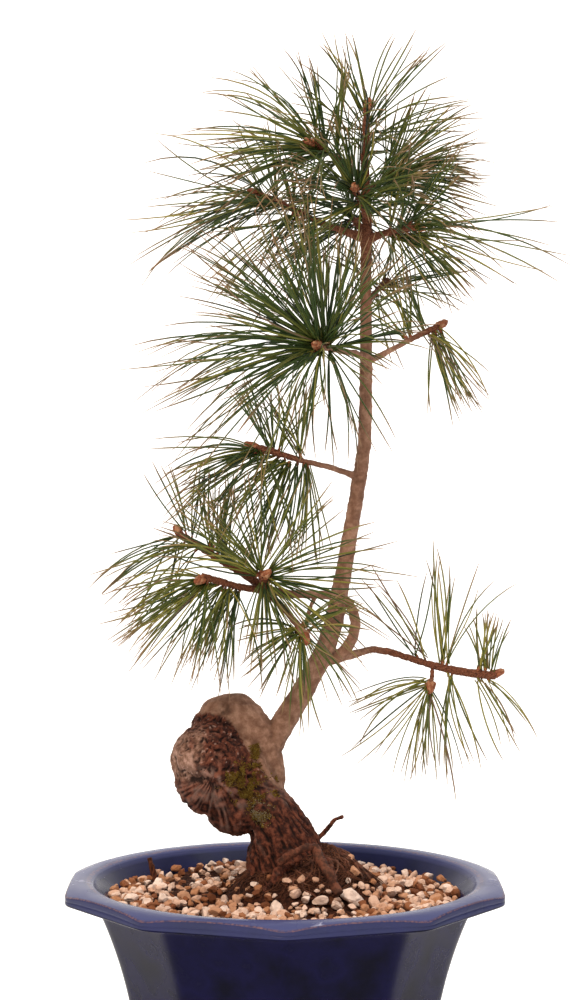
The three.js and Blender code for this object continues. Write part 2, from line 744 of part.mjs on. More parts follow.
// Shortest distance between segments ab and cd.
function segmentGap(a, b, c, d) {
  const u = b.clone().sub(a);
  const v = d.clone().sub(c);
  const w = a.clone().sub(c);
  const uu = u.dot(u);
  const uv = u.dot(v);
  const vv = v.dot(v);
  const uw = u.dot(w);
  const vw = v.dot(w);
  const flat = uu * vv - uv * uv;
  let s = flat < 1e-9 ? 0 : THREE.MathUtils.clamp((uv * vw - vv * uw) / flat, 0, 1);
  const t = THREE.MathUtils.clamp((uv * s + vw) / vv, 0, 1);
  s = THREE.MathUtils.clamp((uv * t - uw) / uu, 0, 1);
  return u.multiplyScalar(s).sub(v.multiplyScalar(t)).add(w).length();
}

// Everything that a bundle keeps clear of, as thick segments. A bundle needs less room near its own shoot.
const obstacles = [];
for (const limb of Object.values(limbs)) {
  const stops = limb.curve.getSpacedPoints(limb.steps);
  stops.slice(1).forEach((stop, i) => {
    obstacles.push({ a: stops[i], b: stop, radius: along(limb.radii, i / limb.steps) + clearance });
  });
}
for (const [centre, sizes] of burls) {
  const middle = new THREE.Vector3(...planted(centre));
  obstacles.push({ a: middle, b: middle.clone().setZ(middle.z + 0.1), radius: Math.max(...sizes) });
}
for (const shoot of Object.values(shoots)) {
  const line = shootLine(shoot, 4);
  line.slice(1).forEach((stop, i) => {
    const radius = stop.radius + needle.sleeveWall + 2 * clearance;
    obstacles.push({ a: line[i].point, b: stop.point, radius, shoot });
  });
}

const girth = needle.bundleRadius * 0.9; // of the whole bundle, where it may meet another

// Whether a bent bundle, past its first stretch, clears all that stands already.
function standsClear(bend, shoot) {
  const root = bend[0].clone().lerp(bend[1], 0.3);
  const stretches = [[root, bend[1]], [bend[1], bend[2]]];
  return stretches.every(([a, b]) =>
    obstacles.every((other) => {
      const own = other.shoot === shoot && other.bundle;
      const room = other.radius + girth + (own ? needle.ownSpacing : needle.spacing);
      return segmentGap(a, b, other.a, other.b) > room;
    }),
  );
}

// A bundle as a bent line of three points, from a base along a heading, sagging as much as its spray does.
function bendOf(spray, base, heading, random) {
  const length = spray.length * (0.86 + 0.26 * random());
  const middle = base.clone().addScaledVector(heading, length * 0.5);
  middle.z -= spray.sag * length * 0.25;
  const tip = base.clone().addScaledVector(heading, length);
  tip.z -= spray.sag * length * (0.8 + 0.5 * random());
  return [base, middle, tip];
}

// Keeps later bundles off this one.
function standUp(bend, shoot) {
  const root = bend[0].clone().lerp(bend[1], 0.3);
  obstacles.push({ a: root, b: bend[1], radius: girth, shoot, bundle: true });
  obstacles.push({ a: bend[1], b: bend[2], radius: girth, shoot, bundle: true });
}

// The bundles of a shoot. One that would cross another swings aside, and is left out if it can't.
function bundlesOf(shoot, seed) {
  const random = seeded(seed);
  const { curve } = limbs[shoot.limb];
  const bends = [];
  let turn = random() * 6;
  for (const spray of shoot.sprays) {
    for (let i = 0; i < spray.bundles; i++) {
      const share = (i + 0.5) / spray.bundles;
      const place = spray.tilt ? share : (share * 7.3) % 1;
      const onShoot = THREE.MathUtils.lerp(spray.at[0], spray.at[1], place);
      const onLimb = THREE.MathUtils.lerp(shoot.from, 1, onShoot);
      const base = curve.getPointAt(onLimb);
      const twig = curve.getTangentAt(onLimb);
      for (let tries = 0; tries < 24; tries++) {
        turn += goldenAngle + tries * 0.13;
        const heading = bundleHeading(spray, twig, turn, Math.min(1, share + tries * 0.02));
        const bend = bendOf(spray, base, heading, random);
        if (!standsClear(bend, shoot)) continue;
        bends.push(bend);
        standUp(bend, shoot);
        break;
      }
    }
  }
  return bends;
}

function makeMoss(grownWood) {
  const ball = new THREE.SphereGeometry(1, 14, 9);
  ball.scale(...moss.halfSize).translate(...planted(moss.centre));
  return mainBody(makeWood(clearance + moss.thickness).intersect(solidOf(ball)).subtract(grownWood));
}

function makeStick(grow = 0) {
  const turn = THREE.MathUtils.degToRad(stick.turn);
  const footReach = cavityRadius(gravelTop + stick.foot) - stick.wallInset;
  const at = (reach, rise) => planted([reach * Math.cos(turn), reach * Math.sin(turn), rise]);
  const line = curveThrough([at(footReach, stick.foot), at(footReach + stick.lean, stick.head)]);
  return tube(line, stick.radii, 7, 2, grow);
}

function makeNeedles(shoot, seed, grownWood) {
  const radii = [needle.bundleRadius, needle.bundleRadius * 0.85, 0];
  const bundles = bundlesOf(shoot, seed).map((bend) => tube(new THREE.CatmullRomCurve3(bend), radii, 3, 2));
  return mainBody(union([sleeve(shoot), ...bundles]).subtract(grownWood));
}

// ---------------------------------------------------------------- assembly

const finishes = {
  glaze: { color: 0x1d1c4a, roughness: 0.25, metalness: 0 },
  plastic: { color: 0x1b1b1b, roughness: 0.6, metalness: 0 },
  soil: { color: 0x3a2013, roughness: 1, metalness: 0 },
  gravel: { color: 0xc9a183, roughness: 0.95, metalness: 0 },
  bark: { color: 0x8a6654, roughness: 0.9, metalness: 0 },
  moss: { color: 0x6b6a24, roughness: 1, metalness: 0 },
  needles: { color: 0x41552c, roughness: 0.5, metalness: 0 },
};
const materials = Object.fromEntries(
  Object.entries(finishes).map(([name, look]) => [name, new THREE.MeshStandardMaterial(look)]),
);

const bonsai = new THREE.Group();

function add(name, solid, material) {
  const mesh = new THREE.Mesh(geometryOf(solid), materials[material]);
  mesh.name = name;
  bonsai.add(mesh);
}

const grownWood = makeWood(clearance);
const places = pebblePlaces();
const pockets = union([...places.map((place, i) => makePebble(place, i, clearance)), makeStick(clearance)]);

// Room in the soil for a drain mesh.
function meshPocket(x) {
  const side = meshSide + 2 * clearance;
  return block(side, side, 2 * (drainMesh.thickness + 2 * clearance), x, 0, pot.floor);
}

add("pot", makePot(), "glaze");
add("drain_mesh_left", makeDrainMesh(-pot.drainOffset), "plastic");
add("drain_mesh_right", makeDrainMesh(pot.drainOffset), "plastic");
add("tree_wood", makeWood(), "bark");
add("moss_patch", makeMoss(grownWood), "moss");
add("dead_stick", makeStick(), "bark");

const soilBody = filling(pot.floor + clearance, soilTop, pot.heel, clearance).add(makeMound());
const soilCuts = union([grownWood, pockets, meshPocket(-pot.drainOffset), meshPocket(pot.drainOffset)]);
add("potting_soil", mainBody(soilBody.subtract(soilCuts)), "soil");

const gravelBody = filling(soilTop + clearance, gravelTop, 0, clearance);
const gravelCuts = union([makeMound(clearance), grownWood, pockets]);
add("gravel_layer", mainBody(gravelBody.subtract(gravelCuts)), "gravel");

places.forEach((place, i) => {
  add(`pebble_${String(i + 1).padStart(2, "0")}`, makePebble(place, i), "gravel");
});
Object.entries(shoots).forEach(([name, shoot], i) => {
  add(`needles_${name}`, makeNeedles(shoot, 500 + i, grownWood), "needles");
});

export default bonsai;
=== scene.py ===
"""A five-needle bonsai pine in a ten-sided glazed pot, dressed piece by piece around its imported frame."""

import logging
import math
from dataclasses import dataclass
from enum import Enum

import bmesh
import bpy
import numpy as np
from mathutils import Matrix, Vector


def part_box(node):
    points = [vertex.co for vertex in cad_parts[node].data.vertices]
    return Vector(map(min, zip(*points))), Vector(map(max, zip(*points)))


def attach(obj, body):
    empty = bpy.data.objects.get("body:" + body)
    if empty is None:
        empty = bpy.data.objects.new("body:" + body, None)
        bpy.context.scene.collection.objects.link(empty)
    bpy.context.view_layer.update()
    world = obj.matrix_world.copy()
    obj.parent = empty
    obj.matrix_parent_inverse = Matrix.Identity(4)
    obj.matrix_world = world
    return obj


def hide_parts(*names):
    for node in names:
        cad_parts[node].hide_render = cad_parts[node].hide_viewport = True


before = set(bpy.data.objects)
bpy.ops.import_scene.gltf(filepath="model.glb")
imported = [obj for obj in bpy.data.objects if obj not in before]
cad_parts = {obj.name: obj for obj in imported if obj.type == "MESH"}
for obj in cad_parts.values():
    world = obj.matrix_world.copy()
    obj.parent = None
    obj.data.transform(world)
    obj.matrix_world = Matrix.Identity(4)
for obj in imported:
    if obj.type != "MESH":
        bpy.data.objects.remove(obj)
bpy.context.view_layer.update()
log = logging.getLogger("bonsai")

MM = 0.001
Colour = tuple[float, float, float, float]
MIX_FACTOR, MIX_A, MIX_B, MIX_RESULT = 0, 6, 7, 2  # a colour Mix node's sockets

# ---------------------------------------------------------------- numbers, meshes and nodes


def linear(code: str) -> Colour:
    """Turn an sRGB hex colour into a linear colour.

    Args:
        code: The colour, such as "#1d1c4a".

    Returns:
        Linear red, green and blue, and an alpha of one.
    """
    channels = [int(code[i : i + 2], 16) / 255 for i in (1, 3, 5)]
    red, green, blue = (c / 12.92 if c <= 0.04045 else ((c + 0.055) / 1.055) ** 2.4 for c in channels)
    return (red, green, blue, 1.0)


def per_mm(size: float) -> float:
    """Return the scale of a texture whose features are size millimetres across."""
    return 1 / (size * MM)


def add_node(
    tree: bpy.types.NodeTree,
    kind: str,
    inputs: dict[str | int, object] | None = None,
    stops: list[tuple[float, str]] | None = None,
    **settings: object,
) -> bpy.types.Node:
    """Add a shader node with its settings and links.

    Args:
        tree: The material's node tree.
        kind: The node's type name.
        inputs: Socket names or numbers, each with a value or with the output socket that feeds it.
        stops: For a colour ramp, its positions and hex colours.
        settings: The node's own properties.

    Returns:
        The new node.
    """
    node = tree.nodes.new(kind)
    for name, value in settings.items():
        setattr(node, name, value)
    for name, value in (inputs or {}).items():
        if isinstance(value, bpy.types.NodeSocket):
            tree.links.new(value, node.inputs[name])
        else:
            node.inputs[name].default_value = value
    if stops:
        ramp = node.color_ramp.elements
        while len(ramp) < len(stops):
            ramp.new(0.5)
        for element, (position, code) in zip(ramp, stops):
            element.position = position
            element.color = linear(code)
    return node


def smoothstep(low: float, high: float, value: np.ndarray) -> np.ndarray:
    """Return a smooth rise from 0 at low to 1 at high."""
    share = np.clip((value - low) / (high - low), 0, 1)
    return share * share * (3 - 2 * share)


def unit(vectors: np.ndarray) -> np.ndarray:
    """Return the vectors scaled to length one along the last axis."""
    return vectors / np.maximum(np.linalg.norm(vectors, axis=-1, keepdims=True), 1e-12)


def lattice(cells: np.ndarray, seed: int) -> np.ndarray:
    """Return a repeatable number from 0 to 1 for each whole-number cell."""
    whole = cells.astype(np.int64).astype(np.uint32)
    mixed = whole[..., 0] * np.uint32(73856093) ^ whole[..., 1] * np.uint32(19349663)
    mixed = mixed ^ whole[..., 2] * np.uint32(83492791) ^ np.uint32(seed * 2654435761 % 2**32)
    mixed = (mixed ^ (mixed >> np.uint32(13))) * np.uint32(1274126177)
    mixed = (mixed ^ (mixed >> np.uint32(16))) * np.uint32(2246822519)
    return (mixed ^ (mixed >> np.uint32(15))).astype(np.float64) / 4294967295.0


def noise(points: np.ndarray, size: float, seed: int, octaves: int = 1) -> np.ndarray:
    """Smooth noise in space.

    Args:
        points: Places, in millimetres.
        size: Distance over which the noise changes, in millimetres.
        seed: Picks the pattern.
        octaves: How many finer layers are added, each half the size and half as strong.

    Returns:
        One value from about -1 to 1 for each place.
    """
    total = np.zeros(len(points))
    weight = 1.0
    for octave in range(octaves):
        scaled = points / size * 2**octave + 37.7 * (octave + seed)
        cell = np.floor(scaled)
        share = scaled - cell
        share = share * share * (3 - 2 * share)
        value = np.zeros(len(points))
        for corner in np.ndindex(2, 2, 2):
            near = np.prod(np.where(np.array(corner) == 1, share, 1 - share), axis=1)
            value += near * lattice(cell + np.array(corner), seed)
        total += weight * (2 * value - 1)
        weight *= 0.5
    return total


def distance_to_line(points: np.ndarray, line: list[tuple[float, float, float]]) -> np.ndarray:
    """Return how far each point lies from a bent line, in the units of both."""
    best = np.full(len(points), np.inf)
    for start, end in zip(np.array(line[:-1]), np.array(line[1:])):
        along = end - start
        share = np.clip(((points - start) @ along) / (along @ along), 0, 1)
        best = np.minimum(best, np.linalg.norm(points - start - share[:, None] * along, axis=1))
    return best


def folds(points: np.ndarray, size: float, seed: int, octaves: int = 2) -> np.ndarray:
    """Return noise that is folded into sharp crests, from about -1 to 1."""
    return 1 - 2 * np.abs(noise(points, size, seed, octaves))


def dress(
    name: str,
    mesh: bpy.types.Mesh,
    material: bpy.types.Material,
    attributes: dict[str, np.ndarray] | None = None,
    smooth: bool = True,
) -> bpy.types.Object:
    """Give a mesh its finish and put it in the scene.

    Args:
        name: The piece's name.
        mesh: Its mesh.
        material: Its finish.
        attributes: Numbers to keep on the vertices for the finish to read, by name.
        smooth: Whether its faces are shaded smooth.

    Returns:
        The linked object.
    """
    mesh.polygons.foreach_set("use_smooth", np.full(len(mesh.polygons), smooth))
    for key, values in (attributes or {}).items():
        layer = mesh.attributes.new(key, "FLOAT", "POINT")
        layer.data.foreach_set("value", values.astype(np.float32))
    mesh.materials.clear()
    mesh.materials.append(material)
    mesh.update()
    piece = bpy.data.objects.new(name, mesh)
    bpy.context.scene.collection.objects.link(piece)
    return piece


def build_piece(
    name: str,
    points: np.ndarray,
    faces: list[np.ndarray],
    material: bpy.types.Material,
    attributes: dict[str, np.ndarray] | None = None,
    smooth: bool = True,
) -> bpy.types.Object:
    """Make a mesh object from arrays.

    Args:
        name: The piece's name.
        points: Its vertices, in millimetres in the row frame.
        faces: Arrays of vertex numbers, each with 3 or 4 columns.
        material: Its finish.
        attributes: Numbers to keep on the vertices, by name.
        smooth: Whether its faces are shaded smooth.

    Returns:
        The linked object.
    """
    mesh = bpy.data.meshes.new(name)
    mesh.vertices.add(len(points))
    mesh.vertices.foreach_set("co", (points * MM).astype(np.float32).ravel())
    sizes = np.concatenate([np.full(len(group), group.shape[1]) for group in faces])
    corners = np.concatenate([group.ravel() for group in faces])
    mesh.loops.add(len(corners))
    mesh.loops.foreach_set("vertex_index", corners.astype(np.int32))
    mesh.polygons.add(len(sizes))
    mesh.polygons.foreach_set("loop_start", np.concatenate([[0], np.cumsum(sizes)[:-1]]).astype(np.int32))
    mesh.update(calc_edges=True)
    mesh.validate()
    return dress(name, mesh, material, attributes, smooth)


def settle(piece: bpy.types.Object, slot: str, *nodes: str) -> None:
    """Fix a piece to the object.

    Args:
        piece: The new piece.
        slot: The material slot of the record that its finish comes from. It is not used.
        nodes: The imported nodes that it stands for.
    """
    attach(piece, "root")
    if nodes:
        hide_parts(*nodes)
    log.info("%s: %d faces", piece.name, len(piece.data.polygons))


def mesh_points(mesh: bpy.types.Mesh) -> np.ndarray:
    """Return a mesh's vertices in millimetres."""
    flat = np.zeros(len(mesh.vertices) * 3, np.float32)
    mesh.vertices.foreach_get("co", flat)
    return flat.reshape(-1, 3).astype(np.float64) / MM


def mesh_edges(mesh: bpy.types.Mesh) -> np.ndarray:
    """Return a mesh's edges as pairs of vertex numbers."""
    flat = np.zeros(len(mesh.edges) * 2, np.int32)
    mesh.edges.foreach_get("vertices", flat)
    return flat.reshape(-1, 2)


def mesh_normals(mesh: bpy.types.Mesh) -> np.ndarray:
    """Return a mesh's vertex normals."""
    flat = np.zeros(len(mesh.vertices) * 3, np.float32)
    mesh.vertex_normals.foreach_get("vector", flat)
    return flat.reshape(-1, 3).astype(np.float64)


def move_points(mesh: bpy.types.Mesh, points: np.ndarray) -> None:
    """Give a mesh's vertices new places, in millimetres."""
    mesh.vertices.foreach_set("co", (points * MM).astype(np.float32).ravel())
    mesh.update()


def neighbour_means(points: np.ndarray, edges: np.ndarray) -> np.ndarray:
    """Return the mean of each point's neighbours."""
    count = np.bincount(edges.ravel(), minlength=len(points)).astype(float)
    total = np.zeros_like(points)
    for axis in range(3):
        total[:, axis] += np.bincount(edges[:, 0], points[edges[:, 1], axis], len(points))
        total[:, axis] += np.bincount(edges[:, 1], points[edges[:, 0], axis], len(points))
    return total / np.maximum(count, 1)[:, None]


def welded_copy(node: str) -> bpy.types.Mesh:
    """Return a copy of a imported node's mesh with its shared corners joined."""
    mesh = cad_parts[node].data.copy()
    work = bmesh.new()
    work.from_mesh(mesh)
    bmesh.ops.remove_doubles(work, verts=work.verts, dist=0.002 * MM)
    work.to_mesh(mesh)
    work.free()
    return mesh


def remeshed_copy(node: str, voxel: float) -> bpy.types.Mesh:
    """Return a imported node's mesh rebuilt from even faces.

    Args:
        node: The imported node.
        voxel: Size of the new faces, in millimetres.

    Returns:
        The new mesh.
    """
    mesh = welded_copy(node)
    holder = bpy.data.objects.new(node + "_remesh", mesh)
    bpy.context.scene.collection.objects.link(holder)
    remesh = holder.modifiers.new("even_faces", "REMESH")
    remesh.mode = "VOXEL"
    remesh.voxel_size = voxel * MM
    even = bpy.data.meshes.new_from_object(holder.evaluated_get(bpy.context.evaluated_depsgraph_get()))
    bpy.data.objects.remove(holder)
    return even


def ring_faces(rings: int, around: int) -> tuple[np.ndarray, np.ndarray]:
    """Join rings of vertices into a closed skin.

    Args:
        rings: How many rings there are.
        around: Vertices in each ring.

    Returns:
        The quads between rings, and the triangles that close the first and the last ring, each round
        one more vertex. Those two vertices follow the rings'.
    """
    here = np.arange(around)
    after = (here + 1) % around
    row = np.arange(rings - 1)[:, None] * around
    quads = np.stack([row + here, row + after, row + around + after, row + around + here], axis=-1)
    foot, last = rings * around, (rings - 1) * around
    first = np.stack([np.full(around, foot), after, here], axis=1)
    final = np.stack([np.full(around, foot + 1), last + here, last + after], axis=1)
    return quads.reshape(-1, 4), np.concatenate([first, final])


def tubes(centres: np.ndarray, radii: np.ndarray, sides: int) -> tuple[np.ndarray, list[np.ndarray]]:
    """Closed tubes along many lines at once.

    Args:
        centres: Points along each tube, shaped (tubes, rings, 3), in millimetres.
        radii: Radius at each ring, shaped (tubes, rings).
        sides: Corners of the cross-section.

    Returns:
        The vertices, and the quads and triangles.
    """
    count, rings, _ = centres.shape
    heading = unit(np.gradient(centres, axis=1))
    start = heading[:, :1]
    spare = np.where(np.abs(start[..., 2:]) < 0.8, [[[0.0, 0.0, 1.0]]], [[[1.0, 0.0, 0.0]]])
    side = unit(np.cross(heading, np.broadcast_to(spare, heading.shape)))
    rise = np.cross(heading, side)
    angle = np.arange(sides) * 2 * math.pi / sides
    ring = side[:, :, None] * np.cos(angle)[:, None] + rise[:, :, None] * np.sin(angle)[:, None]
    wall = centres[:, :, None] + ring * radii[:, :, None, None]
    points = np.concatenate([wall.reshape(count, -1, 3), centres[:, :1], centres[:, -1:]], axis=1)
    quads, triangles = ring_faces(rings, sides)
    shift = (np.arange(count) * (rings * sides + 2))[:, None, None]
    return points.reshape(-1, 3), [(quads + shift).reshape(-1, 4), (triangles + shift).reshape(-1, 3)]


def ring_values(values: np.ndarray, sides: int) -> np.ndarray:
    """Spread a number for each ring of each tube over that tube's vertices."""
    wall = np.repeat(values, sides, axis=1)
    return np.concatenate([wall, values[:, :1], values[:, -1:]], axis=1).ravel()


def tube_values(values: np.ndarray, rings: int, sides: int) -> np.ndarray:
    """Spread one number for each tube over that tube's vertices."""
    return np.repeat(values, rings * sides + 2)


def bent(base: np.ndarray, middle: np.ndarray, tip: np.ndarray, rings: int) -> np.ndarray:
    """Return points along smooth arcs that pass through three points, shaped (arcs, rings, 3)."""
    share = np.linspace(0, 1, rings)[None, :, None]
    pull = 2 * middle - (base + tip) / 2
    first = base[:, None] * (1 - share) ** 2
    return first + pull[:, None] * 2 * share * (1 - share) + tip[:, None] * share**2


# ---------------------------------------------------------------- finishes


@dataclass(frozen=True)
class Surface:
    """The parts of a new material that a finish works on."""

    material: bpy.types.Material
    tree: bpy.types.NodeTree
    shader: bpy.types.Node
    place: bpy.types.NodeSocket


def new_surface(name: str, **values: object) -> Surface:
    """Start a material.

    Args:
        name: The material's name.
        values: Constants for the shader's sockets, with underscores for the spaces of their names.

    Returns:
        Its node tree, shader and place in the row frame, in metres.
    """
    material = bpy.data.materials.new(name)
    material.use_nodes = True
    tree = material.node_tree
    shader = tree.nodes["Principled BSDF"]
    for key, value in values.items():
        shader.inputs[key.replace("_", " ")].default_value = value
    place = add_node(tree, "ShaderNodeTexCoord").outputs["Object"]
    return Surface(material, tree, shader, place)


def own_tint(surface: Surface, stops: list[tuple[float, str]]) -> bpy.types.NodeSocket:
    """Colour each grain, root, needle or scale by the tint kept on it.

    Args:
        surface: The material.
        stops: Shares of the tint and their hex colours.

    Returns:
        The colour.
    """
    tint = add_node(surface.tree, "ShaderNodeAttribute", attribute_name="tint").outputs["Fac"]
    return add_node(surface.tree, "ShaderNodeValToRGB", {"Fac": tint}, stops=stops).outputs["Color"]


@dataclass(frozen=True)
class CobaltGlaze:
    """Cobalt glaze on stoneware: deep, glossy and mottled, thin and brown where it drew back from edges, paler
    on the rim as thinner glaze with a painted sheen.
    """

    deep: str = "#08081a"
    blue: str = "#0f0e30"
    # the rim's thinner glaze, painted paler as a painted sheen
    rim: str = "#5f6594"
    thin: str = "#7d5d5c"
    lime: str = "#aeb0c6"
    pooling: float = 26.0  # mm, how far apart the darker pools lie
    speckle: float = 1.6  # mm

    def make(self) -> bpy.types.Material:
        """Return the glaze's material."""
        surface = new_surface("cobalt_glaze", IOR=1.5, Specular_IOR_Level=0.045)
        tree = surface.tree
        pools, grain = (
            add_node(
                tree, "ShaderNodeTexNoise", {"Vector": surface.place, "Scale": per_mm(size), "Detail": detail}
            )
            for size, detail in ((self.pooling, 5.0), (self.speckle, 3.0))
        )
        colour = add_node(
            tree,
            "ShaderNodeValToRGB",
            {"Fac": pools.outputs["Fac"]},
            stops=[(0.32, self.deep), (0.55, self.blue), (0.8, self.deep)],
        ).outputs["Color"]
        shares = [add_node(tree, "ShaderNodeAttribute", attribute_name="thin_glaze_and_sheen").outputs["Fac"]]
        for name, low, high, most in (("edge", 0.3, 0.7, 1.0), ("lime", 0.18, 0.6, 0.85)):
            mask = add_node(tree, "ShaderNodeAttribute", attribute_name=name).outputs["Fac"]
            parts = {0: mask, 1: grain.outputs["Fac"]}
            broken = add_node(tree, "ShaderNodeMath", parts, operation="MULTIPLY")
            inputs = {"Value": broken.outputs[0], "From Min": low, "From Max": high, "To Max": most}
            shares.append(add_node(tree, "ShaderNodeMapRange", inputs).outputs[0])
        # the paler rim colour is thinner glaze with a painted sheen on the rim and the top of the inside
        for share, over in zip(shares, (self.rim, self.thin, self.lime)):
            inputs = {MIX_FACTOR: share, MIX_A: colour, MIX_B: linear(over)}
            colour = add_node(tree, "ShaderNodeMix", inputs, data_type="RGBA").outputs[MIX_RESULT]
        tree.links.new(colour, surface.shader.inputs["Base Color"])
        dull = add_node(
            tree,
            "ShaderNodeMapRange",
            {"Value": pools.outputs["Fac"], "From Min": 0.3, "From Max": 0.7, "To Min": 0.16, "To Max": 0.3},
        )
        rough = add_node(
            tree, "ShaderNodeMath", {0: shares[-1], 1: 0.45, 2: dull.outputs[0]}, operation="MULTIPLY_ADD"
        )
        tree.links.new(rough.outputs[0], surface.shader.inputs["Roughness"])
        bump = add_node(
            tree, "ShaderNodeBump", {"Height": pools.outputs["Fac"], "Distance": 0.5 * MM, "Strength": 0.35}
        )
        tree.links.new(bump.outputs["Normal"], surface.shader.inputs["Normal"])
        return surface.material


@dataclass(frozen=True)
class PineBark:
    """Living pine bark: crumpled red-brown folds on the old base, smooth grey skin above, red young twigs."""

    # dark of the bark's cracks, also laid in hollows as painted shade
    crack_and_hollow_shade: str = "#120806"
    plate: str = "#3b1d14"
    plate_light: str = "#6b3b2a"
    worn: str = "#6c4536"
    bleached: str = "#80604f"
    bleached_dark: str = "#573c30"
    flake: str = "#b9998a"
    skin: str = "#7f5c49"
    skin_dark: str = "#664837"
    skin_light: str = "#a07c66"
    twig: str = "#6d3f2a"
    twig_dark: str = "#3b2015"
    plate_size: float = 4.0  # mm
    fibre: float = 0.9  # mm
    mottle: float = 6.0  # mm

    def make(self) -> bpy.types.Material:
        """Return the bark's material."""
        surface = new_surface("pine_bark", Roughness=0.82, IOR=1.45, Specular_IOR_Level=0.2)
        tree = surface.tree
        patterns = [
            add_node(
                tree,
                "ShaderNodeTexNoise",
                {"Vector": surface.place, "Scale": per_mm(size), "Detail": detail, "Roughness": 0.65},
            )
            for size, detail in ((self.plate_size, 7.0), (self.fibre, 4.0), (self.mottle, 9.0))
        ]
        plates, fibres, mottle = patterns
        layers = [
            (mottle, [(0.33, self.skin_dark), (0.48, self.skin), (0.66, self.skin_light)]),
            (fibres, [(0.35, self.twig_dark), (0.55, self.twig), (0.78, self.skin)]),
            (plates, [(0.3, self.crack_and_hollow_shade), (0.45, self.plate), (0.6, self.plate_light), (0.76, self.worn)]),
            (plates, [(0.36, self.bleached_dark), (0.5, self.bleached), (0.72, self.flake)]),
        ]
        ramps = [
            add_node(tree, "ShaderNodeValToRGB", {"Fac": pattern.outputs["Fac"]}, stops=stops)
            for pattern, stops in layers
        ]
        colour, *others = (ramp.outputs["Color"] for ramp in ramps)
        above = dict(zip(("young", "old", "bleached"), others))
        above["crest"] = linear(self.flake)
        # painted shade: hollows darkened, together with the dark spots
        above["hollow_shade_and_spots"] = linear(self.crack_and_hollow_shade)
        for mask, over in above.items():
            share = add_node(tree, "ShaderNodeAttribute", attribute_name=mask).outputs["Fac"]
            inputs = {MIX_FACTOR: share, MIX_A: colour, MIX_B: over}
            colour = add_node(tree, "ShaderNodeMix", inputs, data_type="RGBA").outputs[MIX_RESULT]
        tree.links.new(colour, surface.shader.inputs["Base Color"])
        bump = add_node(
            tree, "ShaderNodeBump", {"Height": fibres.outputs["Fac"], "Distance": 0.6 * MM, "Strength": 0.8}
        )
        tree.links.new(bump.outputs["Normal"], surface.shader.inputs["Normal"])
        return surface.material


@dataclass(frozen=True)
class PumiceGrain:
    """Sieved pumice and baked clay grains: chalky, porous, from pinkish white through tan to rust brown."""

    colours: tuple[str, ...] = ("#5c3420", "#875335", "#b07c58", "#cfa387", "#dfc0ac", "#ecd8ca")
    dust: str = "#7a4a2c"
    pore: float = 0.7  # mm
    stain: float = 3.5  # mm

    def make(self) -> bpy.types.Material:
        """Return the grains' material."""
        surface = new_surface("pumice_grain", Roughness=0.93, IOR=1.5, Specular_IOR_Level=0.2)
        tree = surface.tree
        last = len(self.colours) - 1
        tint = own_tint(surface, [(i / last, code) for i, code in enumerate(self.colours)])
        stain = add_node(
            tree, "ShaderNodeTexNoise", {"Vector": surface.place, "Scale": per_mm(self.stain), "Detail": 5.0}
        )
        stained = add_node(
            tree,
            "ShaderNodeMapRange",
            {"Value": stain.outputs["Fac"], "From Min": 0.52, "From Max": 0.75, "To Max": 0.6},
        )
        dusty = add_node(
            tree,
            "ShaderNodeMix",
            {MIX_FACTOR: stained.outputs[0], MIX_A: tint, MIX_B: linear(self.dust)},
            data_type="RGBA",
        )
        tree.links.new(dusty.outputs[MIX_RESULT], surface.shader.inputs["Base Color"])
        pores = add_node(
            tree, "ShaderNodeTexNoise", {"Vector": surface.place, "Scale": per_mm(self.pore), "Detail": 4.0}
        )
        bump = add_node(
            tree, "ShaderNodeBump", {"Height": pores.outputs["Fac"], "Distance": 0.4 * MM, "Strength": 0.8}
        )
        tree.links.new(bump.outputs["Normal"], surface.shader.inputs["Normal"])
        return surface.material


@dataclass(frozen=True)
class RootLoam:
    """Peaty loam bound by fine roots: dark peat, painted nearly black in its hollows as painted shade,
    red-brown on its crumbs.
    """

    dark_peat_and_hollow_shade: str = "#140906"
    crumb: str = "#3d2015"
    straw: str = "#6d4330"
    crumb_size: float = 2.2  # mm

    def make(self) -> bpy.types.Material:
        """Return the loam's material."""
        surface = new_surface("root_loam", Roughness=0.97, Specular_IOR_Level=0.15)
        tree = surface.tree
        crumbs = add_node(
            tree,
            "ShaderNodeTexNoise",
            {"Vector": surface.place, "Scale": per_mm(self.crumb_size), "Detail": 6.0, "Roughness": 0.7},
        )
        # the colour follows the bump's noise, so the lowest places are the darkest: painted shade
        colour = add_node(
            tree,
            "ShaderNodeValToRGB",
            {"Fac": crumbs.outputs["Fac"]},
            stops=[(0.36, self.dark_peat_and_hollow_shade), (0.55, self.crumb), (0.78, self.straw)],
        )
        tree.links.new(colour.outputs["Color"], surface.shader.inputs["Base Color"])
        bump = add_node(
            tree, "ShaderNodeBump", {"Height": crumbs.outputs["Fac"], "Distance": 1.2 * MM, "Strength": 0.9}
        )
        tree.links.new(bump.outputs["Normal"], surface.shader.inputs["Normal"])
        return surface.material


@dataclass(frozen=True)
class FineRoot:
    """Dry fine roots: matt, from straw to red-brown, each its own shade."""

    dark: str = "#2f170e"
    straw: str = "#86543a"
    mottle: float = 0.8  # mm

    def make(self) -> bpy.types.Material:
        """Return the roots' material."""
        surface = new_surface("fine_root", Roughness=0.9, Specular_IOR_Level=0.2)
        tree = surface.tree
        colour = own_tint(surface, [(0.1, self.dark), (1.0, self.straw)])
        grain = add_node(
            tree, "ShaderNodeTexNoise", {"Vector": surface.place, "Scale": per_mm(self.mottle), "Detail": 2.0}
        )
        mottled = add_node(
            tree,
            "ShaderNodeMix",
            {MIX_FACTOR: grain.outputs["Fac"], MIX_A: colour, MIX_B: linear(self.dark)},
            data_type="RGBA",
        )
        tree.links.new(mottled.outputs[MIX_RESULT], surface.shader.inputs["Base Color"])
        return surface.material


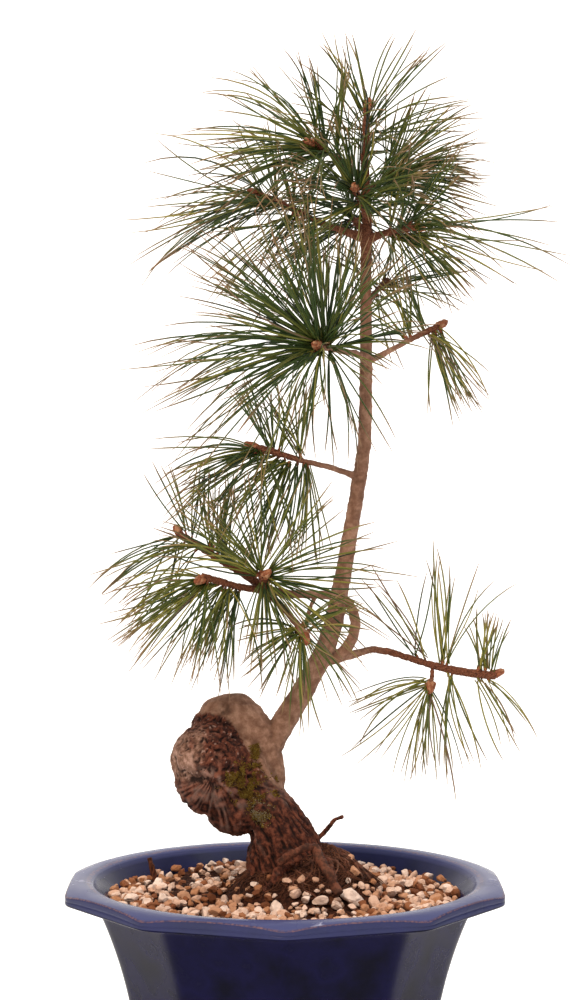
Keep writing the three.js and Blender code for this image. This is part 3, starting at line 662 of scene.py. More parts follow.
@dataclass(frozen=True)
class PineNeedle:
    """Waxy pine needles: satin, deep green to olive, a few straw or browned, with a short brown tip."""

    deep: str = "#1a2812"
    green: str = "#33461d"
    olive: str = "#5d6128"
    straw: str = "#8a8138"
    browned: str = "#6f5a48"
    tip: str = "#8d6a50"
    bloom: float = 6.0  # mm, how far apart the duller patches lie

    def make(self) -> bpy.types.Material:
        """Return the needles' material."""
        surface = new_surface("pine_needle", IOR=1.45, Specular_IOR_Level=0.24)
        tree = surface.tree
        stops = [
            (0.0, self.deep),
            (0.3, self.green),
            (0.55, self.olive),
            (0.74, self.straw),
            (0.88, self.browned),
        ]
        fresh = own_tint(surface, stops)
        along = add_node(tree, "ShaderNodeAttribute", attribute_name="along").outputs["Fac"]
        dry = add_node(tree, "ShaderNodeMapRange", {"Value": along, "From Min": 0.7, "From Max": 1.02})
        ended = add_node(
            tree,
            "ShaderNodeMix",
            {MIX_FACTOR: dry.outputs[0], MIX_A: fresh, MIX_B: linear(self.tip)},
            data_type="RGBA",
        )
        tree.links.new(ended.outputs[MIX_RESULT], surface.shader.inputs["Base Color"])
        bloom = add_node(
            tree, "ShaderNodeTexNoise", {"Vector": surface.place, "Scale": per_mm(self.bloom), "Detail": 2.0}
        )
        rough = add_node(
            tree,
            "ShaderNodeMapRange",
            {"Value": bloom.outputs["Fac"], "From Min": 0.3, "From Max": 0.7, "To Min": 0.34, "To Max": 0.55},
        )
        tree.links.new(rough.outputs[0], surface.shader.inputs["Roughness"])
        return surface.material


@dataclass(frozen=True)
class BudScale:
    """Papery scales of buds and needle sheaths: dull orange-brown with paler edges."""

    dark: str = "#5d2f1d"
    orange: str = "#a4613c"
    pale: str = "#c99a73"
    streak: float = 1.0  # mm

    def make(self) -> bpy.types.Material:
        """Return the scales' material."""
        surface = new_surface("bud_scale", Roughness=0.7, Specular_IOR_Level=0.3)
        tree = surface.tree
        colour = own_tint(surface, [(0.0, self.dark), (0.6, self.orange), (1.0, self.pale)])
        streak = add_node(
            tree, "ShaderNodeTexNoise", {"Vector": surface.place, "Scale": per_mm(self.streak), "Detail": 3.0}
        )
        streaked = add_node(
            tree,
            "ShaderNodeMix",
            {MIX_FACTOR: streak.outputs["Fac"], MIX_A: colour, MIX_B: linear(self.dark)},
            data_type="RGBA",
        )
        tree.links.new(streaked.outputs[MIX_RESULT], surface.shader.inputs["Base Color"])
        return surface.material


@dataclass(frozen=True)
class DryMoss:
    """Short moss dried on bark: matt yellow-green leaflets with grey and brown ones between."""

    brown: str = "#3a2412"
    green: str = "#5f461a"
    bright: str = "#85702e"
    grey: str = "#867d6c"

    def make(self) -> bpy.types.Material:
        """Return the moss's material."""
        surface = new_surface("dry_moss", Roughness=0.95, Specular_IOR_Level=0.1)
        tree = surface.tree
        stops = [(0.1, self.brown), (0.4, self.green), (0.7, self.bright), (1.0, self.grey)]
        colour = own_tint(surface, stops)
        tree.links.new(colour, surface.shader.inputs["Base Color"])
        return surface.material


@dataclass(frozen=True)
class MouldedMesh:
    """Black polyethylene moulded as a mesh: slightly waxy, with dusty high spots."""

    black: str = "#141414"
    dusty: str = "#2b2622"
    speck: float = 4.0  # mm

    def make(self) -> bpy.types.Material:
        """Return the plastic's material."""
        surface = new_surface("moulded_mesh", Roughness=0.55, IOR=1.5)
        tree = surface.tree
        dust = add_node(
            tree, "ShaderNodeTexNoise", {"Vector": surface.place, "Scale": per_mm(self.speck), "Detail": 4.0}
        )
        stops = [(0.4, self.black), (0.7, self.dusty)]
        colour = add_node(tree, "ShaderNodeValToRGB", {"Fac": dust.outputs["Fac"]}, stops=stops)
        tree.links.new(colour.outputs["Color"], surface.shader.inputs["Base Color"])
        bump = add_node(
            tree, "ShaderNodeBump", {"Height": dust.outputs["Fac"], "Distance": 0.1 * MM, "Strength": 0.5}
        )
        tree.links.new(bump.outputs["Normal"], surface.shader.inputs["Normal"])
        return surface.material


@dataclass(frozen=True)
class DeadWood:
    """A dead barkless stick: dark brown, split along its grain."""

    dark: str = "#2a140d"
    brown: str = "#6a3c26"
    split: float = 0.9  # mm across the grain

    def make(self) -> bpy.types.Material:
        """Return the stick's material."""
        surface = new_surface("dead_wood", Roughness=0.9, Specular_IOR_Level=0.2)
        tree = surface.tree
        along = add_node(
            tree, "ShaderNodeMapping", {"Vector": surface.place, "Scale": (1.0, 1.0, 0.15)}
        )
        grain = add_node(
            tree, "ShaderNodeTexNoise", {"Vector": along.outputs[0], "Scale": per_mm(self.split), "Detail": 4.0}
        )
        stops = [(0.35, self.dark), (0.7, self.brown)]
        colour = add_node(tree, "ShaderNodeValToRGB", {"Fac": grain.outputs["Fac"]}, stops=stops)
        tree.links.new(colour.outputs["Color"], surface.shader.inputs["Base Color"])
        bump = add_node(
            tree, "ShaderNodeBump", {"Height": grain.outputs["Fac"], "Distance": 0.4 * MM, "Strength": 0.8}
        )
        tree.links.new(bump.outputs["Normal"], surface.shader.inputs["Normal"])
        return surface.material


@dataclass(frozen=True)
class PaperSweep:
    """Seamless white background paper: matt, and lit so that it is nearly white."""

    white: str = "#f7f6f4"
    glow: float = 0.6

    def make(self) -> bpy.types.Material:
        """Return the paper's material."""
        surface = new_surface("paper_sweep", Roughness=0.95, Specular_IOR_Level=0.1)
        surface.shader.inputs["Base Color"].default_value = linear(self.white)
        surface.shader.inputs["Emission Color"].default_value = linear(self.white)
        surface.shader.inputs["Emission Strength"].default_value = self.glow
        return surface.material


# ---------------------------------------------------------------- pot


@dataclass
class GlazedPot:
    """The ten-sided pot: a thrown body pressed to ten faces under a rolled rim whose corners dip."""

    sides: int = 10
    around: int = 1080
    softness: float = 90.0  # a higher power makes crisper corners
    rim_corner: float = 135.0
    rim_foot: float = 141.0
    crest_radius: float = 121.0
    lip_drop: float = 4.4
    lip_power: float = 2.6
    mouth: float = 114.0
    wall: float = 6.0
    floor: float = 10.0
    foot_corner: float = 88.8
    neck_corner: float = 114.3
    neck: float = 136.0
    flare: float = 2.45
    drain_offset: float = 36.0
    drain_radius: float = 9.0
    groove_width: float = 8.0
    groove_depth: float = 3.0
    foot_round: float = 3.0  # round of the foot's edge
    lip_round: float = 2.2  # round of the rim's inner edge
    # Dried lime: a line along each scratch or drip with its half-width, then each patch's centre and reach.
    scratches = (
        ([(1, -131, 146.5), (9, -130, 147), (16, -128, 148.5), (21, -127, 149.5), (15, -126, 150)], 0.8),
        ([(-6, -131, 146.2), (3, -132, 145.8), (8, -130, 147.2)], 0.7),
        ([(15, -126, 150), (20, -124, 150), (18, -128, 148.5)], 0.6),
        ([(89.5, -60, 133), (89.2, -59, 124), (88.2, -58, 115)], 0.75),
        ([(103, -40, 135), (102, -40, 130)], 0.6),
        ([(24, -104, 107), (28, -103, 106.5)], 0.8),
        ([(-54, -112, 148), (-50, -114, 146.5), (-44, -116, 147.5), (-38, -118, 148)], 0.7),
    )
    patches = (((-122, -14, 149), 7), ((122, -6, 149), 9), ((126, 4, 146), 8), ((-118, 20, 149), 8))

    def __post_init__(self) -> None:
        """Take the pot's height from the frame."""
        self.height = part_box("pot")[1][2] / MM

    def outline(self, angle: np.ndarray) -> np.ndarray:
        """Return the ten-sided outline's radius at each angle, as a share of its corner radius."""
        step = 2 * math.pi / self.sides
        faces = -math.pi / 2 + step / 2 + step * np.arange(self.sides)
        towards = np.clip(np.cos(angle[:, None] - faces), 0, None)
        blended = (towards**self.softness).sum(axis=1) ** (1 / self.softness)
        return math.cos(math.pi / self.sides) / blended

    def body_corner(self, z: float) -> float:
        """Return the body's corner radius at a height."""
        return self.foot_corner + (self.neck_corner - self.foot_corner) * (z / self.neck) ** self.flare

    def profile(self) -> list[tuple[float, float, float, float]]:
        """The pot's section, from the middle of its underside, up the outside and down the inside.

        Returns:
            For each ring its corner radius, its height, how far it follows the ten-sided outline from 0 to 1,
            and how thin the glaze is there.
        """
        rings = [(0.0, 0.0, 0.0, 0.0), (30.0, 0.0, 0.3, 0.0), (60.0, 0.0, 0.8, 0.0)]
        turn = np.linspace(0, math.pi / 2, 5)
        flat = self.foot_corner - self.foot_round
        for a in turn:
            rise = self.foot_round * (1 - math.cos(a))
            rings.append((flat + self.foot_round * math.sin(a), rise, 1.0, 0.25))
        rings += [(self.body_corner(z), z, 1.0, 0.0) for z in np.linspace(6, self.neck - 1, 30)]
        under = self.body_corner(self.neck)
        shelf = self.rim_corner - 2 - under
        for share in np.linspace(0, 1, 9)[1:]:
            lift = (self.rim_foot - self.neck) * (1 - (1 - share) ** 2.2)
            rings.append((under + shelf * share**1.5, self.neck + lift, 1.0, 0.0))
        rings += [
            (self.rim_corner - 2 + 2 * math.sin(a), self.rim_foot + 1.2 * (1 - math.cos(a)), 1.0, 0.35)
            for a in turn[1:]
        ]
        return rings

    def band(self) -> list[tuple[float, float]]:
        """Return the rim's upright face: how deep each ring lies in it, and its share of the way up."""
        shares = np.linspace(0, 1, 16)[1:]
        return [(0.45 * math.exp(-(((share - 0.42) / 0.07) ** 2)), share) for share in shares]

    def inside(self) -> list[tuple[float, float]]:
        """Return the radius and height of each ring from the rim's crest down to the middle of the floor."""
        roll = self.crest_radius - self.mouth
        rings = [
            (self.crest_radius - roll * math.sin(a), self.height - self.lip_round * (1 - math.cos(a)))
            for a in np.linspace(0, math.pi / 2, 9)
        ]
        side = math.cos(math.pi / self.sides)
        throat = self.neck - 2
        low = self.body_corner(throat) * side - self.wall
        top = self.height - self.lip_round
        for share in np.linspace(0, 1, 9)[1:]:
            z = top - (top - throat) * share
            rings.append((low + (self.mouth - low) * (1 - share) ** 1.6, z))
        for z in np.linspace(throat, self.floor + 8, 14)[1:]:
            rings.append((self.body_corner(z) * side - self.wall, z))
        well = self.body_corner(self.floor) * side - self.wall - 6
        rings += [(radius, self.floor) for radius in (well, 40.0, 0.0)]
        return rings

    def rings(self) -> tuple[np.ndarray, dict[str, np.ndarray]]:
        """All of the pot's rings.

        Returns:
            The vertices shaped (rings, around, 3), and each vertex's share of edge, and of thin glaze painted
            paler as a painted sheen.
        """
        angle = -math.pi / 2 + np.arange(self.around) * 2 * math.pi / self.around
        share = self.outline(angle)
        rows, edges, thin = [], [], []

        def lay(radius: np.ndarray, z: np.ndarray, edge: float, film_and_sheen: float) -> None:
            """Add one ring."""
            rows.append(np.stack([radius * np.cos(angle), radius * np.sin(angle), z + 0 * angle], axis=1))
            edges.append(np.full(self.around, edge))
            thin.append(np.full(self.around, film_and_sheen))

        for radius, z, follow, edge in self.profile():
            lay(radius * (1 - follow + follow * share), np.full(self.around, z), edge, 0.0)
        rim = self.rim_corner * share
        brim = self.rim_corner - self.crest_radius
        fall = self.lip_drop * (np.clip(rim - self.crest_radius, 0, None) / brim) ** self.lip_power
        top = self.height - fall
        foot = self.rim_foot + 1.2
        # the rim's faces and the top of the inside get a share of thinner glaze, painted paler as a painted
        # sheen
        for depth, rise in self.band():
            inset = depth + 0.5 * max(0.0, rise - 0.9) / 0.1
            lay(rim - inset, foot + (top - foot) * rise, 0.9 * (rise > 0.93), 0.25)
        for step in np.linspace(0, 1, 12)[1:]:
            radius = rim + (self.crest_radius - rim) * step
            out = np.clip(radius - self.crest_radius, 0, None) / brim
            z = self.height - self.lip_drop * out**self.lip_power
            lay(radius - 0.5 * (1 - step), z, 0.6 * (step < 0.15), 0.55)
        for number, (radius, z) in enumerate(self.inside()[1:]):
            film_and_sheen = 0.45 if number < 8 else 0.1
            lay(np.full(self.around, radius), np.full(self.around, z), 0.75 * (1 <= number <= 3), film_and_sheen)
        return np.array(rows), {"edge": np.array(edges).ravel(), "thin_glaze_and_sheen": np.array(thin).ravel()}

    def lime(self, points: np.ndarray) -> np.ndarray:
        """Return how much dried lime lies at each point: scratches and drips, and patches on the rim."""
        amount = np.zeros(len(points))
        for line, width in self.scratches:
            amount = np.maximum(amount, np.exp(-((distance_to_line(points, line) / width) ** 2)))
        patchy = np.clip(noise(points, 5, 3, 3), 0, 1)
        for centre, radius in self.patches:
            near = np.linalg.norm(points - np.array(centre), axis=1) / radius
            amount = np.maximum(amount, patchy * 1.6 * np.exp(-(near**2)))
        return np.clip(amount, 0, 1)

    def rods(
        self,
        name: str,
        segments: int,
        radius: float,
        length: float,
        offset: float,
        squash: float | None = None,
    ) -> bpy.types.Mesh:
        """Make a pair of cutting rods, one on each side.

        Args:
            name: The mesh's name.
            segments: Flats round a rod.
            radius: A rod's radius, in millimetres.
            length: Its length.
            offset: How far out its middle is.
            squash: The height of its section as a share of its width, if it lies outwards. It stands if None.

        Returns:
            The rods' mesh.
        """
        work = bmesh.new()
        lay = Vector((0, 0, 1)).rotation_difference(Vector((1, 0, 0))).to_matrix()
        for side in (-1, 1):
            made = bmesh.ops.create_cone(
                work,
                cap_ends=True,
                segments=segments,
                radius1=radius * MM,
                radius2=radius * MM,
                depth=length * MM,
            )
            rod = made["verts"]
            if squash is not None:
                bmesh.ops.rotate(work, verts=rod, matrix=lay)
                bmesh.ops.scale(work, verts=rod, vec=(1, 1, squash))
            bmesh.ops.translate(work, verts=rod, vec=(side * offset * MM, 0, 0))
        mesh = bpy.data.meshes.new(name)
        work.to_mesh(mesh)
        work.free()
        return mesh

    def pierce(self, piece: bpy.types.Object) -> None:
        """Cut the drain holes and their grooves through the floor."""
        reach = self.foot_corner - self.drain_offset + 4
        half = self.groove_width / 2
        out = self.drain_offset + reach / 2
        for cutter in (
            self.rods("drain_cutter", 64, self.drain_radius, 3 * self.floor, self.drain_offset),
            self.rods("groove_cutter", 32, half, reach, out, self.groove_depth / half),
        ):
            tool = bpy.data.objects.new(cutter.name, cutter)
            bpy.context.scene.collection.objects.link(tool)
            cut = piece.modifiers.new("cut", "BOOLEAN")
            cut.operation = "DIFFERENCE"
            cut.solver = "EXACT"
            cut.object = tool
            made = bpy.data.meshes.new_from_object(piece.evaluated_get(bpy.context.evaluated_depsgraph_get()))
            piece.modifiers.clear()
            piece.data = made
            bpy.data.objects.remove(tool)

    def build(self) -> None:
        """Build the pot."""
        rows, values = self.rings()
        middle = rows[1:-1]
        points = np.concatenate([middle.reshape(-1, 3), rows[:1, 0], rows[-1:, 0]])
        attributes = {
            key: np.concatenate([value[self.around : -self.around], [0.0, 0.0]])
            for key, value in values.items()
        }
        attributes["lime"] = self.lime(points)
        faces = list(ring_faces(len(middle), self.around))
        piece = build_piece("glazed_pot", points, faces, CobaltGlaze().make(), attributes)
        self.pierce(piece)
        settle(piece, "pot_glaze", "pot")


# ---------------------------------------------------------------- soil and gravel


class Ground:
    """The ground's surface in the pot: a level of gravel with the root mound standing off its middle."""

    level = 140.2
    centre = (13.0, 0.0)
    reach = (0.0, 17.0, 24.0, 36.0, 49.0, 62.0)
    rise = (167.5, 166.5, 162.5, 152.0, 143.0, 140.2)
    bowl = 104.5  # radius of the level, inside the wall

    def out(self, x: np.ndarray, y: np.ndarray) -> np.ndarray:
        """Return the distance of each place from the mound's middle."""
        return np.hypot(x - self.centre[0], y - self.centre[1])

    def height(self, x: np.ndarray, y: np.ndarray) -> np.ndarray:
        """Return the ground's height at each place."""
        mound = np.interp(self.out(x, y), self.reach, self.rise)
        swell = 1.2 * noise(np.stack([x, y, 0 * x], axis=1), 30, 4, 2)
        return np.maximum(mound, self.level + swell)


@dataclass
class RootMound:
    """The soil, with the crumbly root-bound mound that the trunk rises from."""

    ground: Ground
    around: int = 420
    rings: int = 150
    sunk: float = 2.6  # how far the soil lies under the gravel's surface
    hairs: int = 900
    edge: float = 104.0  # radius of the soil where it meets the wall
    # The soil's buried side: each ring's radius and its height over the pot's floor or over the table.
    foot = ((60.0, 0.0), (70.0, 0.0), (77.0, 6.0))
    side = ((80.0, 60.0), (92.0, 112.0), (99.0, 128.0))

    def build(self) -> None:
        """Build the soil and the hair roots over it."""
        pot_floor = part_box("potting_soil")[0][2] / MM
        angle = np.arange(self.around) * 2 * math.pi / self.around
        rows = []
        for radius, z in [(radius, pot_floor + rise) for radius, rise in self.foot] + list(self.side):
            ring = [radius * np.cos(angle), radius * np.sin(angle), np.full(self.around, z)]
            rows.append(np.stack(ring, axis=1))
        for share in np.linspace(1, 0.02, self.rings):
            radius = self.edge * share
            centre = 1 - smoothstep(0.25, 0.9, np.array([share]))[0]
            x = radius * np.cos(angle) + self.ground.centre[0] * centre
            y = radius * np.sin(angle)
            place = np.stack([x, y, 0 * x], axis=1)
            bare = smoothstep(56, 30, self.ground.out(x, y))
            crumbs = 1.0 * noise(place, 9, 5, 2) + 0.9 * noise(place, 3.2, 6, 3)
            z = self.ground.height(x, y) - self.sunk * (1 - bare) + crumbs * (0.6 + 0.9 * bare)
            rows.append(np.stack([x, y, z], axis=1))
        rows = np.array(rows)
        points = np.concatenate([rows.reshape(-1, 3), [[0, 0, pot_floor]], [rows[-1].mean(axis=0)]])
        faces = list(ring_faces(len(rows), self.around))
        piece = build_piece("root_bound_soil", points, faces, RootLoam().make())
        settle(piece, "soil", "potting_soil")
        self.hair_roots()

    def hair_roots(self) -> None:
        """Lay fine roots down the mound."""
        random = np.random.default_rng(21)
        steps = 9
        turn = random.uniform(0, 2 * math.pi, self.hairs)
        start = random.uniform(12, 34, self.hairs)
        reach = random.uniform(5, 19, self.hairs)
        wander = np.cumsum(random.normal(0, 0.07, (self.hairs, steps)), axis=1)
        share = np.linspace(0, 1, steps)
        out = start[:, None] + reach[:, None] * share
        heading = turn[:, None] + wander + random.normal(0, 0.5, self.hairs)[:, None] * share
        x = self.ground.centre[0] + out * np.cos(heading)
        y = self.ground.centre[1] + out * np.sin(heading)
        lift = random.uniform(0.2, 1.6, (self.hairs, 1)) * np.sin(np.linspace(0.3, math.pi, steps))
        z = self.ground.height(x.ravel(), y.ravel()).reshape(x.shape) + lift + 0.4
        radii = random.uniform(0.14, 0.42, (self.hairs, 1)) * np.linspace(1, 0.45, steps)
        points, faces = tubes(np.stack([x, y, z], axis=2), radii, 5)
        tint = tube_values(random.uniform(0, 1, self.hairs), steps, 5)
        piece = build_piece("hair_roots", points, faces, FineRoot().make(), {"tint": tint})
        settle(piece, "soil")


@dataclass
class GravelBed:
    """Loose grains on the soil: settled side by side, bigger and paler ones on top."""

    ground: Ground
    grains: int = 1120
    filler: int = 700
    smallest: float = 1.7
    largest: float = 5.0
    flats: int = 11  # broken faces on each grain
    # The stones that stand out in front: each one's place seen from above, its radius and how pale it is.
    stones = (
        ((39.0, -36.0), 7.4, 0.92),
        ((20.0, -47.0), 5.0, 0.85),
        ((-4.0, -50.0), 5.2, 0.9),
        ((-26.0, -58.0), 5.6, 0.8),
        ((-45.0, -55.0), 5.0, 0.85),
    )

    def settle_apart(
        self, random: np.random.Generator, count: int, squeeze: float
    ) -> tuple[np.ndarray, np.ndarray]:
        """Scatter grains in the pot and push them apart.

        Args:
            random: The seeded source.
            count: How many grains.
            squeeze: How close two grains may come, as a share of their radii together.

        Returns:
            Their places seen from above, and their radii.
        """
        radius = self.smallest + (self.largest - self.smallest) * random.beta(1.7, 3.4, count)
        turn = random.uniform(0, 2 * math.pi, count)
        out = self.ground.bowl * np.sqrt(random.uniform(0, 1, count))
        place = np.stack([out * np.cos(turn), out * np.sin(turn)], axis=1)
        for _ in range(45):
            apart = place[:, None] - place[None]
            gap = np.sqrt((apart**2).sum(axis=2)) + 1e-6
            want = squeeze * (radius[:, None] + radius[None])
            push = np.clip(want - gap, 0, None) / gap
            np.fill_diagonal(push, 0)
            place += 0.4 * (apart * push[..., None]).sum(axis=1)
            far = np.hypot(*place.T)
            place *= np.minimum(1, (self.ground.bowl + 1.0 - radius) / np.maximum(far, 1e-6))[:, None]
        return place, radius

    def shapes(self, random: np.random.Generator, radius: np.ndarray) -> tuple[np.ndarray, np.ndarray]:
        """Broken-edged grains about the origin.

        Args:
            random: The seeded source.
            radius: Each grain's radius.

        Returns:
            The grains' vertices shaped (grains, vertices, 3), and one grain's triangles.
        """
        ball = bmesh.new()
        bmesh.ops.create_icosphere(ball, subdivisions=3, radius=1.0)
        form = np.array([v.co[:] for v in ball.verts])
        triangles = np.array([[v.index for v in f.verts] for f in ball.faces])
        ball.free()
        count = len(radius)
        grain = np.repeat(form[None], count, axis=0)
        for _ in range(self.flats):
            normal = unit(random.normal(size=(count, 3)))
            depth = random.uniform(0.5, 0.86, count)
            over = np.clip(np.einsum("gvk,gk->gv", grain, normal) - depth[:, None], 0, None)
            grain -= 0.98 * over[..., None] * normal[:, None]
        flat = grain.reshape(-1, 3) + np.repeat(np.arange(count) * 5.0, len(form))[:, None]
        rough = 0.13 * noise(flat, 0.45, 9, 3).reshape(count, -1, 1)
        spans = ((0.85, 1.3), (0.8, 1.1), (0.65, 0.95))
        stretch = np.stack([random.uniform(low, high, count) for low, high in spans], axis=1)
        grain = grain * (1 + rough) * stretch[:, None] * radius[:, None, None]
        spin = random.uniform(0, 2 * math.pi, count)[:, None]
        tip = random.normal(0, 0.35, count)[:, None]
        x = grain[..., 0] * np.cos(tip) + grain[..., 2] * np.sin(tip)
        z = grain[..., 2] * np.cos(tip) - grain[..., 0] * np.sin(tip)
        y = grain[..., 1]
        turned = [x * np.cos(spin) - y * np.sin(spin), x * np.sin(spin) + y * np.cos(spin), z]
        return np.stack(turned, axis=2), triangles

    def build(self) -> None:
        """Build the gravel."""
        random = np.random.default_rng(8)
        top, top_radius = self.settle_apart(random, self.grains, 0.86)
        under, under_radius = self.settle_apart(random, self.filler, 0.8)
        place = np.concatenate([top, under])
        radius = np.concatenate([top_radius, under_radius])
        lower = np.concatenate([np.zeros(len(top)), np.ones(len(under))])
        spots = np.array([spot for spot, _, _ in self.stones])
        sizes = np.array([size for _, size, _ in self.stones])
        gaps = np.hypot(*(place[:, None] - spots[None]).transpose(2, 0, 1))
        clear = np.min(gaps - 0.8 * sizes - 0.7 * radius[:, None], axis=1)
        out = self.ground.out(*place.T)
        front = smoothstep(4, -30, place[:, 1])
        bare = 48 - 13 * front
        covered = out > bare + random.uniform(-5, 5, len(place))
        strewn = (random.uniform(0, 1, len(place)) < 0.1) & (out > 24)
        keep = (clear > 0) & (covered | strewn)
        patch = noise(np.stack([place[:, 0], place[:, 1], 0 * place[:, 0]], axis=1), 22, 12)
        patch += 0.55 * smoothstep(-30, -60, place[:, 0]) * smoothstep(0, 40, place[:, 1])
        earthy = (patch > 0.2) & (random.uniform(0, 1, len(place)) < 0.55)
        keep &= ~earthy
        place = np.concatenate([place[keep], spots])
        radius = np.concatenate([radius[keep], sizes])
        lower = np.concatenate([lower[keep], np.zeros(len(spots))])
        grain, triangles = self.shapes(random, radius)
        lift = random.uniform(-0.35, 0.5, len(radius)) * radius
        z = self.ground.height(*place.T) + lift - 3.6 * lower + 0.2
        grain[..., 0] += place[:, :1]
        grain[..., 1] += place[:, 1:]
        grain[..., 2] += z[:, None]
        pale = np.clip(random.beta(3.4, 1.5, len(radius)) - 0.3 * lower, 0, 1)
        brown = random.uniform(0, 1, len(radius)) < 0.2
        tint = np.where(brown, random.uniform(0, 0.35, len(radius)), pale)
        tint[-len(spots) :] = [shade for _, _, shade in self.stones]
        size = grain.shape[1]
        faces = (triangles[None] + (np.arange(len(radius)) * size)[:, None, None]).reshape(-1, 3)
        piece = build_piece(
            "gravel_grains",
            grain.reshape(-1, 3),
            [faces],
            PumiceGrain().make(),
            {"tint": np.repeat(tint, size)},
            smooth=False,
        )
        settle(piece, "gravel", "gravel_layer", *(f"pebble_{number:02d}" for number in range(1, 13)))


# ---------------------------------------------------------------- wood


@dataclass
class PineWood:
    """The tree's wood: curled swollen base, smooth lobe, trunk and branches."""

    voxel: float = 0.62
    even_passes: int = 34  # over all of it, each without shrinking it
    round_passes: int = 90  # over the thick base only
    hollow_passes = (8, 40)  # how far around a point its fine and its broad hollows are judged
    # Where the smooth skin of the lobe meets the old bark of the swelling, seen from the front.
    seam_x = (-62, -47, -36, -31, -27, -23, -18, -12, -6, 0, 8)
    seam_z = (245, 248.5, 247, 243, 236, 229.5, 221, 213, 207, 203, 198)
    # The trunk's middle line, seen from the front.
    stem_z = (221, 300, 352, 430, 611)
    stem_x = (-12, 29, 38.5, 48.5, 48.5)
    # Grooves and ridges: a line along each, its half-width and how far it stands out.
    strokes = (
        ([(-60, -8, 245), (-47, -14, 248), (-36, -16, 247), (-31, -18, 243), (-27, -19, 236)], 1.9, -2.6),
        ([(-25, -20, 236), (-21, -19, 230), (-17, -18, 223), (-14, -17, 219)], 1.5, -3.6),
        ([(-28, -21, 240), (-26, -22, 232), (-21, -22, 225), (-15, -20, 218)], 1.7, 2.1),
        ([(-24, -19, 239), (-19, -17, 232), (-15, -16, 226), (-10, -15, 217), (-6, -14, 210)], 1.6, 2.0),
        ([(-33, -24, 242), (-30, -25, 236), (-29, -26, 229), (-25, -26, 223)], 1.8, 1.5),
        ([(-62, -14, 219), (-56, -22, 214), (-48, -27, 212), (-42, -29, 208)], 5.5, -3.2),
        ([(-60, -20, 222), (-52, -25, 219), (-44, -28, 217)], 4.5, 1.5),
        ([(-39, -29, 214), (-35, -29, 203), (-29, -27, 193), (-24, -24, 186)], 3.0, 1.6),
        ([(-33, -29, 208), (-28, -27, 199), (-22, -24, 190)], 1.6, -1.8),
        ([(-2, -8, 224), (-1, -9, 216), (1, -9, 207)], 1.5, -2.6),
        ([(2, -6, 215), (3, -6, 207)], 4.0, 1.6),
        ([(-38.5, -9, 252), (-36.5, -9, 250)], 4.6, -2.4),
        ([(-43, -6, 250), (-42, -7, 255), (-38, -7, 257.5), (-33, -7, 255.5), (-32, -8, 250)], 1.5, 1.0),
        ([(-20, -16, 200), (-13, -16, 189), (-6, -18, 177), (-2, -20, 165)], 2.6, 2.4),
        ([(-14, -17, 203), (-6, -17, 190), (3, -17, 176), (9, -17, 163)], 2.4, 2.2),
        ([(-8, -15, 201), (1, -14, 187), (11, -14, 174), (18, -14, 163)], 2.4, 1.8),
        ([(-24, -14, 190), (-17, -15, 178), (-12, -18, 166)], 2.6, 2.0),
    )
    # Bark scars and swellings at old twigs: centre, half-width and how far each stands out.
    knobs = (
        ((43.0, -9, 377.5), 4.2, 1.7),
        ((29.0, -9, 326.5), 3.8, 1.4),
        ((47.5, -7, 452), 3.0, 0.9),
        ((45.5, -7, 414), 2.6, 0.8),
        ((48.5, 0, 535), 6.0, 1.0),
        ((41.0, 3, 390), 4.0, 0.6),
        ((-34.0, 0, 263), 11.0, 2.4),
    )
    # Dark spots on the skin: centre and half-width.
    spots = (
        ((-38, -9, 251), 5.6),
        ((-24.5, -12, 248), 2.2),
        ((-20.5, -12, 243.5), 1.8),
        ((-15.8, -11, 242), 2.4),
        ((-12, -11, 237), 1.6),
        ((43.0, -10, 377.5), 3.4),
        ((29.0, -10, 326.5), 3.0),
        ((36.0, -10, 350.0), 1.8),
        ((17.0, -11, 284.0), 2.0),
        ((3.0, -11, 258.0), 2.4),
    )
    fan = (-42.0, 216.0)  # where the fibres of the swelling's underside spread from, seen from the front

    def smooth(self, points: np.ndarray, edges: np.ndarray) -> np.ndarray:
        """Round off the flat faces, more on the thick base than on the twigs."""
        x, z = points[:, 0], points[:, 2]
        thick = np.maximum(smoothstep(-6, -20, x), smoothstep(216, 200, z)) * smoothstep(268, 258, z)
        thick *= smoothstep(150, 172, z) * smoothstep(24, 16, x)
        for _ in range(self.even_passes):
            for factor in (0.5, -0.53):
                points = points + factor * (neighbour_means(points, edges) - points)
        for _ in range(self.round_passes):
            points = points + 0.5 * thick[:, None] * (neighbour_means(points, edges) - points)
        return points

    def zones(self, points: np.ndarray) -> dict[str, np.ndarray]:
        """Say how much of each kind of bark lies at each point."""
        x, _, z = points.T
        edge = 1.2 * noise(points, 4.0, 51, 2)
        seam = z - np.interp(x, self.seam_x, self.seam_z) + edge
        skin = smoothstep(-1.2, 1.2, seam) * smoothstep(196, 204, z)
        old = (1 - skin) * smoothstep(264, 256, z)
        trunk = np.abs(x - np.interp(z, self.stem_z, self.stem_x))
        young = np.maximum(smoothstep(440, 560, z), smoothstep(14, 46, trunk) * smoothstep(262, 270, z))
        thin = smoothstep(19, 23, x) * smoothstep(169, 173, z) * smoothstep(200, 195, z)
        neck = smoothstep(204, 190, z) * smoothstep(-32, -20, x - 0.35 * (z - 190))
        under = smoothstep(214, 206, z) * (1 - neck) * old
        bleached = smoothstep(-41, -60, x + 9 * noise(points, 6, 52, 3)) * (1 - under)
        bleached *= smoothstep(205, 214, z) * smoothstep(244, 235, z)
        return {
            "old": old,
            "young": young,
            "thin": thin,
            "neck": neck * old,
            "under": under,
            "bleached": bleached,
        }

